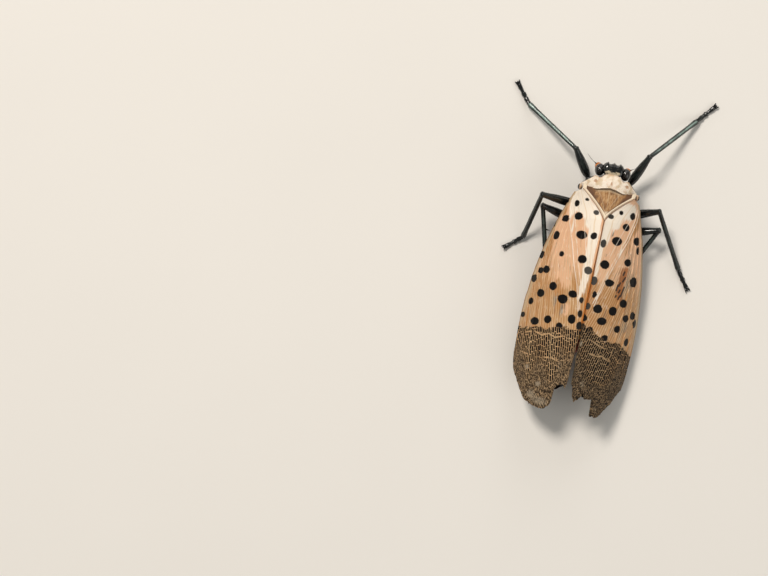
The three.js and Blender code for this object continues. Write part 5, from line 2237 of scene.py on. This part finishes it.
@dataclass(frozen=True)
class BlackCuticle:
    """Hard black cuticle, grown and tanned, with a thin grey-blue wax bloom and a painted highlight along the
    tops of the front shins.
    """

    black: str = "#070809"
    # The wax's teal-grey, which also paints the highlight along the tops of the shins.
    bloom: str = "#B0CCC1"
    pale: str = "#C9B99D"
    keel: str = "#4E4B45"

    def material(self) -> bpy.types.Material:
        """Tanned insect cuticle, as it hardened: glossy black, dulled in patches by wax, finely pitted, with
        a painted pale teal highlight along the tops of the front shins.

        Returns:
            The finish.
        """
        material, graph = new_material("cuticle_black_gloss")
        add = graph.add
        place = graph.place()
        patchy = add(Node.NOISE, place, 1.1, 3.0, 0.6)
        wax_and_highlight = add(Node.MARK, "bloom")
        thin = add(Node.PLUS, add(Node.TIMES, wax_and_highlight, 0.12), 0.015)
        wax = add(Node.TIMES, add(Node.STEP, patchy, 0.3, 0.7), thin)
        # Painted highlight: a pale teal line along the upward faces of waxed shins, strongest on the front
        # legs.
        above = add(Node.STEP, add(Node.MARK, "upper"), 0.66, 0.93)
        thick = add(Node.TIMES, add(Node.TIMES, wax_and_highlight, above), add(Node.STEP, patchy, 0.3, 0.6, 0.4, 0.95))
        wax = add(Node.PLUS, wax, thick)
        colour = add(Node.MIX, wax, self.black, self.bloom)
        colour = add(Node.MIX, add(Node.TIMES, add(Node.MARK, "keel"), 0.55), colour, self.keel)
        ragged = add(Node.MINUS, add(Node.NOISE, place, 5.0, 3.0, 0.7), 0.5)
        pale = add(Node.PLUS, add(Node.MARK, "pale"), add(Node.TIMES, ragged, 1.3))
        colour = graph.over(colour, self.pale, pale, 0.4, 0.65, 0.9)
        pits = add(Node.GRAINS, place, 7.0, 1.0)
        bump = add(Node.RELIEF, pits, 0.12, 0.00002)
        rough = add(Node.STEP, patchy, 0.3, 0.8, 0.1, 0.24)
        shader = add(Node.SURFACE, colour, rough, bump, also={"IOR": 1.56, "Specular IOR Level": 0.5})
        add(Node.RESULT, shader)
        return material


@dataclass(frozen=True)
class EyeCornea:
    """The eye's clear facets over dark pigment."""

    dark: str = "#080707"
    warm: str = "#1E1612"
    grey: str = "#33373A"

    def material(self) -> bpy.types.Material:
        """Corneal lenses over dark pigment, as grown: near black with grey-brown streaks and a wet gloss.

        Returns:
            The finish.
        """
        material, graph = new_material("eye_cornea_dark")
        add = graph.add
        place = graph.place(2.6, 1.0, 1.0)
        streak = add(Node.NOISE, place, 1.6, 2.0, 0.6)
        colour = graph.over(self.dark, self.warm, streak, 0.4, 0.7)
        colour = graph.over(colour, self.grey, streak, 0.62, 0.75, 0.5)
        wet = {"IOR": 1.4, "Coat Weight": 0.8, "Coat Roughness": 0.05}
        add(Node.RESULT, add(Node.SURFACE, colour, 0.22, also=wet))
        return material


@dataclass(frozen=True)
class KnobCuticle:
    """The feeler's orange cuticle with its black whip."""

    orange: str = "#CC7B27"
    deep: str = "#A25A1B"
    whip: str = "#1A1412"

    def material(self) -> bpy.types.Material:
        """Tanned orange cuticle, as grown: satin and pitted, darker in soft patches, with a black whip.

        Returns:
            The finish.
        """
        material, graph = new_material("antenna_orange_cuticle")
        add = graph.add
        place = graph.place()
        shade = add(Node.NOISE, place, 3.0, 2.0)
        colour = graph.over(self.orange, self.deep, shade, 0.35, 0.7)
        colour = add(Node.MIX, add(Node.MARK, "whip"), colour, self.whip)
        bump = add(Node.RELIEF, add(Node.GRAINS, place, 12.0, 1.0), 0.2, 0.00002)
        shader = add(Node.SURFACE, colour, 0.42, bump, also={"IOR": 1.54})
        add(Node.RESULT, shader)
        return material


@dataclass(frozen=True)
class CollarCuticle:
    """The collar's pale cuticle with pinkish and beige mottling."""

    cream: str = "#ECE0CE"
    pink: str = "#DFB99C"
    beige: str = "#CDB796"
    brown: str = "#A9794E"
    line: str = "#6B5138"
    black: str = "#0D0D0E"
    light: str = "#F2E9DB"

    def material(self) -> bpy.types.Material:
        """Thin horny cuticle, as grown: pale and nearly matt, mottled, with brown pits and a dark hem.

        Returns:
            The finish.
        """
        material, graph = new_material("pronotum_pale_cuticle")
        add = graph.add
        place = graph.place()
        soft, fine = add(Node.NOISE, place, 1.5, 3.0, 0.6), add(Node.NOISE, place, 6.0, 3.0, 0.6)
        colour = graph.over(self.beige, self.cream, soft, 0.38, 0.52)
        colour = graph.over(colour, self.pink, fine, 0.52, 0.66, 0.7)
        colour = graph.over(colour, self.light, fine, 0.45, 0.32, 0.5)
        brown = add(Node.PLUS, add(Node.MARK, "brown"), graph.sway(fine, 0.8))
        colour = graph.over(colour, self.brown, brown, 0.4, 0.8, 0.8)
        reach = add(Node.MARK, "reach")
        colour = graph.over(colour, self.brown, reach, 0.14, 0.02, 0.45)
        colour = add(Node.MIX, add(Node.TIMES, add(Node.MARK, "hem"), 0.75), colour, self.line)
        rim = add(Node.STEP, add(Node.MARK, "rim"), 0.35, 0.6)
        colour = add(Node.MIX, rim, colour, self.black)
        bump = add(Node.RELIEF, fine, 0.4, 0.00004)
        rough = add(Node.STEP, rim, 0.0, 1.0, 0.5, 0.25)
        shader = add(Node.SURFACE, colour, rough, bump, also={"IOR": 1.5, "Specular IOR Level": 0.4})
        add(Node.RESULT, shader)
        return material


@dataclass(frozen=True)
class ShieldCuticle:
    """The shield's brown cuticle under a fine velvety down."""

    brown: str = "#8E6238"
    light: str = "#BE986B"
    dark: str = "#5A3D2A"
    edge: str = "#D8C3A3"
    rim: str = "#EBDAC0"

    def material(self) -> bpy.types.Material:
        """Downy cuticle, as grown: velvet brown with lengthwise streaks, darker corners and pale keels.

        Returns:
            The finish.
        """
        material, graph = new_material("mesonotum_downy_cuticle")
        add = graph.add
        across, reach = add(Node.MARK, "across"), add(Node.MARK, "reach")
        place = graph.place(7.0, 1.8, 1.0)
        streak = add(Node.NOISE, place, 1.0, 3.0, 0.6)
        patch = add(Node.NOISE, graph.place(1.8, 1.0, 1.0), 1.0, 3.0, 0.65)
        colour = graph.over(self.brown, self.light, streak, 0.35, 0.68)
        colour = graph.over(colour, self.dark, patch, 0.52, 0.36, 0.6)
        corner = add(Node.PLUS, add(Node.MARK, "corner"), graph.sway(streak, 0.9))
        colour = graph.over(colour, self.dark, corner, 0.2, 0.8, 0.9)
        colour = add(Node.MIX, add(Node.TIMES, add(Node.MARK, "keel"), 0.3), colour, self.edge)
        front = add(Node.STEP, add(Node.PLUS, reach, graph.sway(streak, 0.06)), 0.16, 0.08)
        centre = add(Node.STEP, add(Node.SIZE, across), 0.6, 0.3)
        colour = add(Node.MIX, add(Node.TIMES, add(Node.TIMES, front, centre), 0.5), colour, self.edge)
        tip = add(Node.STEP, add(Node.PLUS, reach, graph.sway(streak, 0.1)), 0.68, 0.8)
        rim = add(Node.MARK, "edge")
        band = add(Node.MOST, add(Node.STEP, rim, 0.3, 0.25), add(Node.TIMES, tip, 0.75))
        colour = add(Node.MIX, band, colour, self.rim)
        outline = add(Node.STEP, add(Node.SIZE, add(Node.MINUS, rim, 0.3)), 0.05, 0.015)
        outline = add(Node.TIMES, outline, add(Node.MINUS, 0.85, add(Node.TIMES, tip, 0.6)))
        colour = add(Node.MIX, outline, colour, self.dark)
        bump = add(Node.RELIEF, streak, 0.5, 0.00004)
        downy = {"IOR": 1.5, "Specular IOR Level": 0.25, "Sheen Weight": 0.25}
        add(Node.RESULT, add(Node.SURFACE, colour, 0.7, bump, also=downy))
        return material


@dataclass(frozen=True)
class AbdomenCuticle:
    """The abdomen's yellow skin with a broad black plate on each ring and a dusting of white wax."""

    yellow: str = "#D9A032"
    black: str = "#17130F"
    wax: str = "#D8D2C4"

    def material(self) -> bpy.types.Material:
        """Banded cuticle, as grown: satin black plates with yellow hind edges, lightly dusted with wax.

        Returns:
            The finish.
        """
        material, graph = new_material("abdomen_banded_cuticle")
        add = graph.add
        place = graph.place()
        phase = add(Node.MARK, "phase")
        waver = graph.sway(add(Node.NOISE, place, 1.4, 2.0), 0.25)
        edge = add(Node.PLUS, phase, waver)
        band = add(Node.TIMES, add(Node.STEP, edge, 0.04, 0.12), add(Node.STEP, edge, 0.66, 0.58))
        colour = add(Node.MIX, band, self.yellow, self.black)
        dust = add(Node.NOISE, place, 4.0, 4.0, 0.7)
        colour = graph.over(colour, self.wax, dust, 0.5, 0.75, 0.35)
        bump = add(Node.RELIEF, dust, 0.3, 0.00004)
        shader = add(Node.SURFACE, colour, 0.45, bump, also={"IOR": 1.52})
        add(Node.RESULT, shader)
        return material


@dataclass(frozen=True)
class ValveCuticle:
    """The red valves at the abdomen's end."""

    red: str = "#A3241A"
    deep: str = "#5E120E"

    def material(self) -> bpy.types.Material:
        """Tanned red cuticle, as grown: glossy, darker in soft patches.

        Returns:
            The finish.
        """
        material, graph = new_material("valve_red_cuticle")
        add = graph.add
        place = graph.place()
        shade = add(Node.NOISE, place, 3.0, 3.0)
        colour = graph.over(self.red, self.deep, shade, 0.4, 0.7)
        shader = add(Node.SURFACE, colour, 0.35, add(Node.RELIEF, shade, 0.3, 0.00003), also={"IOR": 1.54})
        add(Node.RESULT, shader)
        return material


@dataclass(frozen=True)
class BristleHorn:
    """The horn of the short stiff hairs."""

    dark: str = "#2A2420"
    light: str = "#6B5B4A"

    def material(self) -> bpy.types.Material:
        """Solid horn hairs, as grown: dark brown and a little translucent, so paler here and there.

        Returns:
            The finish.
        """
        material, graph = new_material("bristle_horn")
        add = graph.add
        place = graph.place()
        colour = add(Node.MIX, add(Node.NOISE, place, 2.0, 1.0), self.dark, self.light)
        add(Node.RESULT, add(Node.SURFACE, colour, 0.4, also={"IOR": 1.55}))
        return material


# Studio


@dataclass(frozen=True)
class Lamp:
    """A soft square light that looks at the insect."""

    name: str
    place: tuple[float, float, float]  # metres
    size: float
    power: float
    tint: str


@dataclass
class Studio:
    """The plain pale floor, the soft lights and the camera at the photograph's place."""

    floor_colour: str = "#E9E6E0"
    world_colour: str = "#F2F1EE"
    world_strength: float = 0.28
    floor_fleck: str = "#E5E2DC"
    floor_half: float = 1.5  # metres
    aim: tuple[float, float, float] = (0, 0, 0.003)  # metres; what the lights look at
    lamps: tuple[Lamp, ...] = (
        Lamp("key", (-0.2, 0.22, 0.42), 0.12, 2.0, "#FFF7EE"),
        Lamp("fill", (0.4, -0.1, 0.35), 0.35, 0.6, "#FFFCF6"),
        Lamp("back", (0.05, 0.5, 0.25), 0.3, 0.5, "#FFFFFF"),
    )

    def floor(self) -> bpy.types.Object:
        """The floor, which is no part of the model.

        Returns:
            The floor.
        """
        material, graph = new_material("floor_matt_paper")
        place = graph.add(Node.STRETCH, graph.add(Node.PLACE), (40.0, 40.0, 40.0))
        grain = graph.add(Node.NOISE, place, 1.0, 2.0)
        colour = graph.add(Node.MIX, grain, self.floor_colour, self.floor_fleck)
        graph.add(Node.RESULT, graph.add(Node.SURFACE, colour, 0.8, also={"Specular IOR Level": 0.2}))
        mesh = bpy.data.meshes.new("studio_floor")
        half = self.floor_half
        corners = [(-half, -half, 0), (half, -half, 0), (half, half, 0), (-half, half, 0)]
        mesh.from_pydata(corners, [], [(0, 1, 2, 3)])
        mesh.materials.append(material)
        floor = bpy.data.objects.new("studio_floor", mesh)
        bpy.context.scene.collection.objects.link(floor)
        floor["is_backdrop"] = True
        return floor

    def lights(self) -> None:
        """The soft lights and the pale surroundings."""
        for lamp in self.lamps:
            data = bpy.data.lights.new(lamp.name, "AREA")
            data.size, data.energy, data.color = lamp.size, lamp.power, linear(lamp.tint)[:3]
            light = bpy.data.objects.new(lamp.name, data)
            light.location = lamp.place
            aim = np.array(self.aim) - np.array(lamp.place)
            tilt = math.acos(-aim[2] / np.linalg.norm(aim))
            light.rotation_euler = (tilt, 0, math.atan2(aim[1], aim[0]) - math.pi / 2)
            bpy.context.scene.collection.objects.link(light)
        world = bpy.data.worlds.new("studio_surroundings")
        world.use_nodes = True
        background = world.node_tree.nodes["Background"]
        background.inputs["Color"].default_value = linear(self.world_colour)
        background.inputs["Strength"].default_value = self.world_strength
        bpy.context.scene.world = world

    def camera(self) -> None:
        """The camera, straight above and off to the insect's left, turned as the photograph is."""
        data = bpy.data.cameras.new("photograph_view")
        data.lens, data.sensor_width = VIEW.lens, 36.0
        data.clip_start, data.clip_end = 0.01, 10.0
        camera = bpy.data.objects.new("photograph_view", data)
        camera.location = (np.array([VIEW.x, VIEW.y, VIEW.z]) + SHIFT) * MM
        camera.rotation_euler = (0, 0, math.radians(VIEW.twist))
        bpy.context.scene.collection.objects.link(camera)
        bpy.context.scene.camera = camera

    def build(self) -> None:
        """Sets up everything round the model."""
        self.floor()
        self.lights()
        self.camera()
        bpy.context.scene.view_settings.view_transform = "Standard"
        log.info("studio: floor, %d lights, camera", len(self.lamps))


def write_sizes() -> None:
    """Reads the solids' box and the dressed model's box; neither is kept."""
    boxes = {"cad": CAD_BOX, "visual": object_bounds()}
    plain = {name: [[float(v) for v in corner] for corner in box] for name, box in boxes.items()}


def main() -> None:
    """Builds the dressed model piece by piece, then the studio."""
    logging.basicConfig(level=logging.INFO, format="%(name)s: %(message)s")
    black = BlackCuticle().material()
    collar = CollarCuticle().material()
    Studio().build()
    forewing, hindwing = ForewingMembrane().material(), HindwingMembrane().material()
    eye, knob = EyeCornea().material(), KnobCuticle().material()
    for side in Side:
        Forewing(side).build(forewing)
        Hindwing(side).build(hindwing)
        EYE.build(side, eye)
        KNOB.build(side, knob)
        Tegula().build(side, collar)
    trunk = Trunk().build(black)
    Abdomen().build(AbdomenCuticle().material(), ValveCuticle().material())
    Head().build(black)
    Beak().build(black)
    COLLAR.build(collar)
    Shield().build(ShieldCuticle().material())
    legs = [Leg(name).build(black) for name in LEG_PLACES]
    Bristles().build([*legs, trunk], BristleHorn().material())
    write_sizes()


if __name__ == "__main__":
    main()
